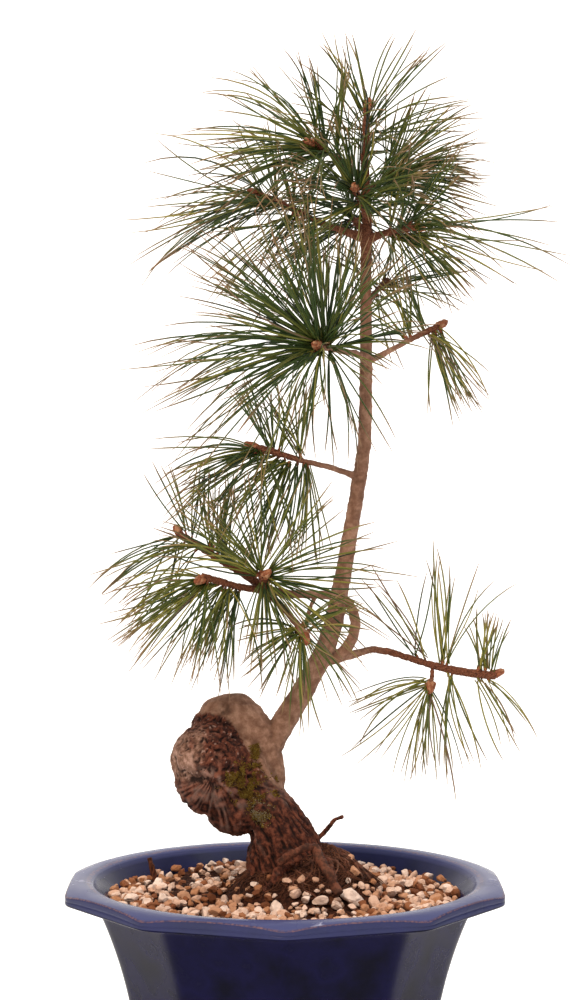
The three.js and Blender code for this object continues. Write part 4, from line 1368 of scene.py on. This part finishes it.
    def relief(self, points: np.ndarray, zones: dict[str, np.ndarray]) -> np.ndarray:
        """Return how far the bark stands out or in at each point, in millimetres."""
        old, young, neck, under = zones["old"], zones["young"], zones["neck"], zones["under"]
        warped = points + 3.0 * np.stack([noise(points, 8, 61 + axis, 2) for axis in range(3)], axis=1)
        crumple = 1.25 * folds(warped, 7.5, 14) + 0.75 * folds(warped, 3.2, 15) + 0.6 * noise(points, 13, 16)
        run = np.array([-0.56, -0.05, 0.83])
        along = points @ run
        strings = warped * 0.5 + points * 0.5 - along[:, None] * run * 0.85
        fibres = 1.2 * folds(strings, 5.0, 19) + 0.6 * folds(strings, 2.2, 20) + 0.6 * noise(points, 6, 21, 2)
        bulk = 1 - 0.55 * zones["bleached"]
        rough = crumple * bulk * (1 - under) * (1 - neck) + self.ribs(points) * under + fibres * neck
        skin = 0.15 * noise(points, 3.0, 22, 2) + 0.35 * np.clip(noise(points, 6, 23), 0.1, 1)
        rings = 0.5 * np.clip(noise(points * np.array([0.25, 0.25, 1.0]), 2.4, 25, 2), 0, 1)
        scaly = 0.35 * folds(points, 2.2, 24)
        relief = old * rough + (1 - old) * ((1 - young) * (skin + rings) + young * scaly)
        for line, width, rise in self.strokes:
            relief += rise * np.exp(-((distance_to_line(points, line) / width) ** 2))
        for centre, width, rise in self.knobs:
            relief += rise * np.exp(-((np.linalg.norm(points - np.array(centre), axis=1) / width) ** 2))
        return relief * (1 - 0.85 * zones["thin"])

    def ribs(self, points: np.ndarray) -> np.ndarray:
        """Return the relief of the fibres that spread over the underside of the swelling."""
        x, y, z = points.T
        reach = np.hypot(x - self.fan[0], z - self.fan[1])
        turn = np.arctan2(z - self.fan[1], x - self.fan[0])
        rays = np.stack([turn * 24, 0.25 * y, 0.12 * reach], axis=1)
        return 0.8 * folds(rays, 2.8, 17) + 0.5 * noise(points, 5, 18, 2)

    def finish(
        self, points: np.ndarray, edges: np.ndarray, normals: np.ndarray, zones: dict[str, np.ndarray]
    ) -> dict[str, np.ndarray]:
        """Work out what the bark's material reads: kinds of bark, painted shade in hollows with dark spots, and
        pale crests.
        """
        hollows = []
        around = points
        for passes in self.hollow_passes:
            for _ in range(passes):
                around = neighbour_means(around, edges)
            hollows.append(((around - points) * normals).sum(axis=1))
        fine, broad = hollows
        old = zones["old"]
        # painted shade: the deeper a point lies in a hollow of the mesh, the darker
        hollow_shade_and_spots = np.clip((fine * 2.3 + broad * 0.85) * (0.3 + 0.7 * old), 0, 0.92)
        for centre, width in self.spots:
            near = np.linalg.norm(points - np.array(centre), axis=1) / width
            ragged = np.clip(0.75 + noise(points, 2.2, 71, 2), 0, 1)
            hollow_shade_and_spots = np.maximum(hollow_shade_and_spots, 0.8 * np.exp(-(near**4)) * ragged)
        flecks = 0.6 * smoothstep(0.45, 0.95, noise(points, 1.5, 72, 2)) * np.clip(-fine * 5, 0, 1)
        pale = flecks * old * (1 - 0.85 * zones["neck"]) * (1 - zones["under"])
        pale += 0.22 * zones["under"] * np.clip(self.ribs(points), 0, 1)
        for line, width, rise in self.strokes:
            if rise > 1.4:
                near = distance_to_line(points, line) / (0.55 * width)
                ragged = np.clip(0.6 + noise(points, 2.0, 73), 0, 1)
                pale = np.maximum(pale, 0.5 * np.exp(-(near**2)) * ragged)
        return {
            "old": old,
            "young": zones["young"],
            "bleached": zones["bleached"] * old * 0.9,
            "hollow_shade_and_spots": hollow_shade_and_spots,
            "crest": np.clip(pale, 0, 0.8),
        }

    def build(self) -> tuple[np.ndarray, np.ndarray]:
        """Build the wood, and return its points and normals."""
        mesh = remeshed_copy("tree_wood", self.voxel)
        edges = mesh_edges(mesh)
        points = self.smooth(mesh_points(mesh), edges)
        move_points(mesh, points)
        zones = self.zones(points)
        points = points + mesh_normals(mesh) * self.relief(points, zones)[:, None]
        move_points(mesh, points)
        values = self.finish(points, edges, mesh_normals(mesh), zones)
        piece = dress("pine_wood", mesh, PineBark().make(), values)
        settle(piece, "bark", "tree_wood")
        return points, mesh_normals(mesh)


@dataclass
class SurfaceRoots:
    """The tree's roots that show on the mound: a stout strut, an arch beside it and thin ones between."""

    ground: Ground
    sides: int = 20
    rings: int = 44
    thin: int = 40
    # A line along each stout root, its radius and how bare it is of old bark.
    stout = (
        ([(17, -30, 172), (21, -36, 167), (26, -42, 160), (31, -48, 150)], 3.2, 0.15),
        ([(-3, -33, 165), (4, -36, 171), (12, -35, 174), (18, -29, 173)], 2.4, 0.1),
    )

    def build(self) -> None:
        """Build the roots."""
        random = np.random.default_rng(33)
        steps = np.linspace(0, 1, self.rings)
        lines, radii, bare = [], [], []
        for path, radius, share in self.stout:
            marks = np.linspace(0, 1, len(path))
            lines.append(np.stack([np.interp(steps, marks, axis) for axis in np.array(path).T], axis=1))
            radii.append(radius * np.linspace(1.0, 0.78, self.rings))
            bare.append(share)
        for _ in range(self.thin):
            turn = random.uniform(-math.pi, 0.15 * math.pi)
            out = random.uniform(15, 24) + random.uniform(10, 26) * steps
            heading = turn + random.normal(0, 0.5) * steps + 0.12 * np.sin(steps * random.uniform(4, 9))
            x = self.ground.centre[0] + out * np.cos(heading)
            y = self.ground.centre[1] + out * np.sin(heading)
            lift = random.uniform(0.0, 2.4) * np.sin(steps * math.pi)
            lines.append(np.stack([x, y, self.ground.height(x, y) + lift + 0.5], axis=1))
            radii.append(random.uniform(0.45, 1.1) * np.linspace(1.0, 0.4, self.rings))
            bare.append(random.uniform(0, 0.35))
        centres, radii = np.array(lines), np.array(radii)
        for _ in range(12):
            centres[:, 1:-1] = 0.5 * centres[:, 1:-1] + 0.25 * (centres[:, :-2] + centres[:, 2:])
        shake = np.stack([noise(centres.reshape(-1, 3), 7, 81 + axis, 2) for axis in range(3)], axis=1)
        centres = centres + 0.9 * shake.reshape(centres.shape)
        points, faces = tubes(centres, radii, self.sides)
        size = ring_values(radii, self.sides)
        hearts = tubes(centres, radii * 0.01, self.sides)[0]
        knobbly = 0.16 * noise(points, 3.2, 84, 2) + 0.12 * folds(points, 1.4, 85)
        points = points + unit(points - hearts) * (size * knobbly)[:, None]
        old = tube_values(1 - np.array(bare), self.rings, self.sides)
        # painted shade: darker where the knobbly surface dips in
        values = {"old": old, "hollow_shade_and_spots": np.clip(-2.2 * knobbly, 0, 0.7)}
        piece = build_piece("surface_roots", points, faces, PineBark().make(), values)
        settle(piece, "bark")


@dataclass
class MossPatch:
    """Broken tufts of moss on the front of the trunk, with grey lichen among the lowest of them."""

    leaflets: int = 5200
    # Where it grows, seen from the front: middle, half-width, half-height and how thickly.
    tufts = (
        ((-23.0, 209.0), (9.5, 11.0), 1.0),
        ((-17.5, 222.5), (3.4, 8.0), 0.9),
        ((-15.0, 199.0), (7.0, 8.0), 0.7),
        ((-36.0, 213.0), (4.0, 6.0), 0.35),
        ((-8.0, 207.0), (5.0, 7.0), 0.3),
    )
    lichen = ((-13.5, 193.0), (7.0, 7.5))

    def build(self, bark: np.ndarray, normals: np.ndarray) -> None:
        """Build the moss.

        Args:
            bark: Points of the finished wood.
            normals: Which way the wood faces there.
        """
        random = np.random.default_rng(5)
        seen = np.column_stack([bark[:, 0], bark[:, 2]])
        thick = np.zeros(len(bark))
        for middle, size, share in self.tufts:
            away = np.linalg.norm((seen - np.array(middle)) / np.array(size), axis=1)
            thick = np.maximum(thick, share * np.exp(-(away**4)))
        middle, size = self.lichen
        crust = np.exp(-(np.linalg.norm((seen - np.array(middle)) / np.array(size), axis=1) ** 4))
        clump = noise(bark, 4.0, 2, 3)
        weight = np.maximum(thick, 0.5 * crust) * np.clip(clump + 0.12, 0, 1) * (normals[:, 1] < -0.1)
        chosen = random.choice(len(bark), self.leaflets, p=weight / weight.sum())
        base = bark[chosen] + random.normal(0, 0.25, (self.leaflets, 3)) - 0.3 * normals[chosen]
        lean = unit(normals[chosen] + random.normal(0, 0.6, base.shape))
        length = random.uniform(0.7, 1.7, len(base)) * (0.8 + 0.9 * np.clip(clump[chosen], 0, 1))
        tip = base + lean * length[:, None]
        centres = bent(base, (base + tip) / 2 + random.normal(0, 0.15, base.shape), tip, 4)
        radii = random.uniform(0.13, 0.3, (len(base), 1)) * np.array([0.7, 1.0, 0.8, 0.15])
        shapes, faces = tubes(centres, radii, 4)
        grey = random.uniform(0, 1, len(base)) < 0.5 * crust[chosen]
        shade = np.clip(0.36 + 0.2 * clump[chosen] + random.normal(0, 0.16, len(base)), 0, 0.8)
        tint = tube_values(np.where(grey, random.uniform(0.85, 1, len(base)), shade), 4, 4)
        piece = build_piece("moss_leaflets", shapes, faces, DryMoss().make(), {"tint": tint})
        settle(piece, "moss", "moss_patch")


@dataclass
class DeadStick:
    """The dry stick that leans against the wall."""

    voxel: float = 0.35

    def build(self) -> None:
        """Build the stick."""
        mesh = remeshed_copy("dead_stick", self.voxel)
        points = mesh_points(mesh)
        edges = mesh_edges(mesh)
        for _ in range(12):
            points = points + 0.5 * (neighbour_means(points, edges) - points)
        line = points * np.array([1, 1, 0.25])
        splits = 0.35 * noise(line, 1.2, 41, 2) + 0.25 * noise(points, 4, 42)
        move_points(mesh, points + mesh_normals(mesh) * splits[:, None])
        piece = dress("dry_stick", mesh, DeadWood().make())
        settle(piece, "dead_wood", "dead_stick")


# ---------------------------------------------------------------- needles


class Habit(Enum):
    """How thickly a shoot is set: needles grown for each bundle in the frame."""

    OPEN = 5
    FULL = 8
    DENSE = 11


@dataclass
class NeedleShoot:
    """One shoot: thin needles in sheathed bundles round the bud that ends a twig."""

    node: str
    habit: Habit
    shade: float  # from 0, dark, to 1, straw
    seed: int
    fan: float  # how far its bundles turn from the frame's, in radians
    rings: int = 9
    scales: int = 26
    radius: float = 0.48

    def bundle_lines(self) -> np.ndarray:
        """Find the frame's bundles of this shoot.

        Returns:
            Base, middle and tip of each, shaped (bundles, 3, 3), in millimetres.
        """
        mesh = welded_copy(self.node)
        points = mesh_points(mesh)
        touching: list[set[int]] = [set() for _ in points]
        for a, b in mesh_edges(mesh):
            touching[a].add(int(b))
            touching[b].add(int(a))
        lines = []
        for tip, near in enumerate(touching):
            ring = sorted(near)
            if len(ring) != 3:
                continue
            reach = np.linalg.norm(points[ring] - points[tip], axis=1)
            if reach.min() < 8 or np.ptp(points[ring], axis=0).max() > 4:
                continue
            middle = points[ring].mean(axis=0)
            back = middle - points[tip]
            feet = [
                points[v]
                for corner in ring
                for v in touching[corner]
                if v != tip and v not in near and (points[v] - middle) @ back > 0
            ]
            if not feet:
                continue
            feet = sorted(feet, key=lambda p: -np.linalg.norm(p - middle))[: max(3, len(feet) // 2)]
            lines.append([np.mean(feet, axis=0), middle, points[tip]])
        bpy.data.meshes.remove(mesh)
        return np.array(lines)

    def build(self, needle: bpy.types.Material, scale: bpy.types.Material, bark: np.ndarray) -> int:
        """Grow the shoot.

        Args:
            needle: The needles' finish.
            scale: The sheaths' finish.
            bark: Points of the finished wood.

        Returns:
            How many needles it has.
        """
        random = np.random.default_rng(self.seed)
        lines = self.bundle_lines()
        self.sheaths(random, lines, scale)
        self.bud(random, lines, scale, bark)
        each = self.habit.value
        total = len(lines) * each
        clumps = -(-each // 3)
        swing = random.normal(0, self.fan, (len(lines), clumps, 3))
        swing[:, 0] *= 0.3
        swing = np.repeat(swing, 3, axis=1)[:, :each].reshape(total, 3)
        base, middle, tip = np.repeat(lines, each, axis=0).transpose(1, 0, 2)
        reach = np.linalg.norm(tip - base, axis=1)[:, None]
        heading = unit(unit(tip - base) + swing + random.normal(0, 0.12, (total, 3)))
        length = reach * random.uniform(0.82, 1.1, (total, 1))
        start = base + random.normal(0, 0.9, (total, 3))
        end = start + heading * length
        level = np.hypot(heading[:, :1], heading[:, 1:2])
        arch = random.normal(0.05, 0.04, (total, 1)) * level * length * np.array([0, 0, 1])
        bow = random.normal(0, 0.034, (total, 3)) * length
        curl = (middle - (base + tip) / 2) * 0.6
        centres = bent(start, (start + end) / 2 + curl + arch + bow, end, self.rings)
        share = np.linspace(0, 1, self.rings)
        taper = np.interp(share, [0, 0.05, 0.7, 0.93, 1], [0.8, 1, 0.97, 0.72, 0.25])
        radii = self.radius * random.uniform(0.8, 1.12, (total, 1)) * taper
        points, faces = tubes(centres, radii, 4)
        shade = self.shade + random.normal(0, 0.15, total)
        shade = shade + np.repeat(random.normal(0, 0.09, len(lines)), each)
        values = {
            "along": ring_values(np.repeat(share[None], total, axis=0), 4),
            "tint": tube_values(np.clip(shade, 0, 1), self.rings, 4),
        }
        piece = build_piece(self.node.replace("needles_", "foliage_"), points, faces, needle, values)
        settle(piece, "needles", self.node)
        return total

    def lap(
        self, kind: str, centres: np.ndarray, radii: np.ndarray, tint: np.ndarray, scale: bpy.types.Material
    ) -> None:
        """Make one piece of short papery scales.

        Args:
            kind: What its name begins with, in place of the node's own beginning.
            centres: Points along each scale.
            radii: Radius at each of them.
            tint: Each scale's shade.
            scale: The scales' finish.
        """
        sides = 6
        points, faces = tubes(centres, radii, sides)
        values = {"tint": tube_values(tint, centres.shape[1], sides)}
        piece = build_piece(self.node.replace("needles_", kind), points, faces, scale, values)
        settle(piece, "needles")

    def sheaths(self, random: np.random.Generator, lines: np.ndarray, scale: bpy.types.Material) -> None:
        """Put a short papery sheath round the foot of each bundle.

        Args:
            random: The seeded source.
            lines: Base, middle and tip of each bundle.
            scale: The sheaths' finish.
        """
        base, heading = lines[:, 0], unit(lines[:, 1] - lines[:, 0])
        length = random.uniform(2.2, 4.4, (len(base), 1))
        start = base - heading * 1.6
        centres = bent(start, start + heading * length * 0.5, start + heading * length, 5)
        radii = random.uniform(0.6, 0.95, (len(base), 1)) * np.array([0.9, 1.1, 1.0, 0.85, 0.5])
        self.lap("sheaths_", centres, radii, random.uniform(0, 0.7, len(base)), scale)

    def bud(
        self, random: np.random.Generator, lines: np.ndarray, scale: bpy.types.Material, bark: np.ndarray
    ) -> None:
        """Close the end of the twig with a resting bud of lapped scales.

        Args:
            random: The seeded source.
            lines: Base, middle and tip of each bundle.
            scale: The scales' finish.
            bark: Points of the finished wood.
        """
        feet = lines[:, 0]
        around = bark[np.linalg.norm(bark - feet.mean(axis=0), axis=1) < 34]
        close = np.min(np.linalg.norm(around[:, None] - feet[None], axis=2), axis=1)
        twig, behind = around[close < 5], around[close > 12]
        aim = unit(twig.mean(axis=0) - behind.mean(axis=0))
        reach = twig @ aim
        foot = twig[reach > reach.max() - 1.6].mean(axis=0) - aim * 1.2
        side = unit(np.cross(aim, [0.3, 0.9, 0.2]))
        turn = np.arange(self.scales) * 2.4
        climb = np.linspace(0, 1, self.scales)[:, None]
        out = side * np.cos(turn)[:, None] + np.cross(aim, side) * np.sin(turn)[:, None]
        start = foot + aim * climb * 5.0 + out * (1.6 - climb)
        end = start + aim * 3.6 + out * random.uniform(-0.9, 0.5, (self.scales, 1))
        centres = bent(start, (start + end) / 2 + out * 0.5, end, 5)
        radii = random.uniform(0.95, 1.25, (self.scales, 1)) * np.array([0.5, 1.0, 0.95, 0.6, 0.12])
        self.lap("bud_", centres, radii, random.uniform(0.3, 1.0, self.scales), scale)


@dataclass
class Foliage:
    """All of the tree's shoots."""

    # Each shoot: how thickly it is set, how pale it is, and how far its bundles fan out, in radians.
    habits = {
        "needles_apex": (Habit.OPEN, 0.36, 0.27),
        "needles_crown_left": (Habit.DENSE, 0.38, 0.27),
        "needles_crown_right": (Habit.DENSE, 0.4, 0.27),
        "needles_crown_front": (Habit.DENSE, 0.34, 0.27),
        "needles_whorl_left": (Habit.FULL, 0.36, 0.27),
        "needles_whorl_right": (Habit.FULL, 0.4, 0.27),
        "needles_whorl_back": (Habit.DENSE, 0.28, 0.27),
        "needles_back_right": (Habit.OPEN, 0.46, 0.27),
        "needles_mid_right": (Habit.FULL, 0.52, 0.27),
        "needles_centre": (Habit.DENSE, 0.3, 0.27),
        "needles_mid_left": (Habit.FULL, 0.4, 0.27),
        "needles_low_upper": (Habit.OPEN, 0.44, 0.27),
        "needles_low_outer": (Habit.FULL, 0.44, 0.27),
        "needles_low_bud": (Habit.FULL, 0.44, 0.27),
        "needles_low_inner": (Habit.OPEN, 0.46, 0.27),
        "needles_right_inner": (Habit.OPEN, 0.6, 0.4),
        "needles_right_tip": (Habit.OPEN, 0.56, 0.4),
    }

    def build(self, bark: np.ndarray) -> None:
        """Grow every shoot on the finished wood's twigs."""
        needle = PineNeedle().make()
        scale = BudScale().make()
        total = 0
        for seed, (node, (habit, shade, fan)) in enumerate(self.habits.items()):
            grown = NeedleShoot(node, habit, shade, 300 + seed, fan).build(needle, scale, bark)
            log.info("%s: %d needles", node, grown)
            total += grown
        log.info("%d needles", total)


# ---------------------------------------------------------------- studio


@dataclass
class Studio:
    """A white paper sweep, a soft key light and a camera level with the tree's middle."""

    distance: float = 1.269
    eye: float = 0.396
    lens: float = 76.2
    drop: float = -0.033
    slide: float = 0.0015
    # Each light: where it hangs, its side in metres, its power in watts and its colour.
    lamps = {
        "key_softbox": ((-0.7, -1.5, 1.9), 0.8, 50.0, "#ffeedd"),
        "top_softbox": ((0.3, 0.2, 2.2), 1.4, 22.0, "#ffffff"),
        "fill_softbox": ((1.8, -1.0, 0.9), 1.4, 7.0, "#eef2ff"),
    }

    def sweep(self) -> None:
        """Lay the paper on the floor and curve it up behind."""
        half, back, radius, top = 4.0, 2.6, 0.8, 4.0
        section = [(-6.0, -0.0005), (back - radius, -0.0005)]
        section += [
            (back - radius + radius * math.sin(a), radius - radius * math.cos(a))
            for a in np.linspace(0, math.pi / 2, 17)[1:]
        ]
        section.append((back, top))
        points = np.array([(x, y, z) for y, z in section for x in (-half, half)]) / MM
        strip = np.arange(len(section) - 1)[:, None] * 2
        quads = np.concatenate([strip, strip + 1, strip + 3, strip + 2], axis=1)
        paper = build_piece("paper_sweep", points, [quads], PaperSweep().make())

    def lamp(self, name: str, place: Vector, aim: Vector, size: float, power: float, tone: str) -> None:
        """Hang a square soft light.

        Args:
            name: Its name.
            place: Where it hangs.
            aim: What it points at.
            size: Its side, in metres.
            power: Its power, in watts.
            tone: Its colour.
        """
        light = bpy.data.lights.new(name, "AREA")
        light.shape = "SQUARE"
        light.size = size
        light.energy = power
        light.color = linear(tone)[:3]
        lamp = bpy.data.objects.new(name, light)
        lamp.location = place
        lamp.rotation_euler = (aim - place).to_track_quat("-Z", "Y").to_euler()
        bpy.context.scene.collection.objects.link(lamp)

    def build(self) -> None:
        """Set up the paper, the lights and the camera."""
        self.sweep()
        middle = Vector((0, 0, 0.3))
        for name, (place, size, power, tone) in self.lamps.items():
            self.lamp(name, Vector(place), middle, size, power, tone)
        world = bpy.data.worlds.new("white_room")
        world.use_nodes = True
        back = world.node_tree.nodes["Background"]
        back.inputs["Color"].default_value = linear("#ffffff")
        back.inputs["Strength"].default_value = 0.3
        bpy.context.scene.world = world
        bpy.context.scene.view_settings.view_transform = "Standard"
        camera = bpy.data.cameras.new("camera")
        camera.lens = self.lens
        camera.sensor_width = 36.0
        camera.shift_x = self.slide
        camera.shift_y = self.drop
        camera.clip_end = 30.0
        holder = bpy.data.objects.new("camera", camera)
        holder.location = (0.0, -self.distance, self.eye)
        holder.rotation_euler = (math.pi / 2, 0.0, 0.0)
        bpy.context.scene.collection.objects.link(holder)
        bpy.context.scene.camera = holder


def main() -> None:
    """Build the studio and the object's pieces in order."""
    logging.basicConfig(level=logging.INFO, format="%(name)s: %(message)s")
    Studio().build()
    ground = Ground()
    GlazedPot().build()
    RootMound(ground).build()
    GravelBed(ground).build()
    bark, normals = PineWood().build()
    SurfaceRoots(ground).build()
    MossPatch().build(bark, normals)
    DeadStick().build()
    Foliage().build(bark)
    plastic = MouldedMesh().make()
    for node in ("drain_mesh_left", "drain_mesh_right"):
        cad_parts[node].data.materials.clear()
        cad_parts[node].data.materials.append(plastic)


if __name__ == "__main__":
    main()
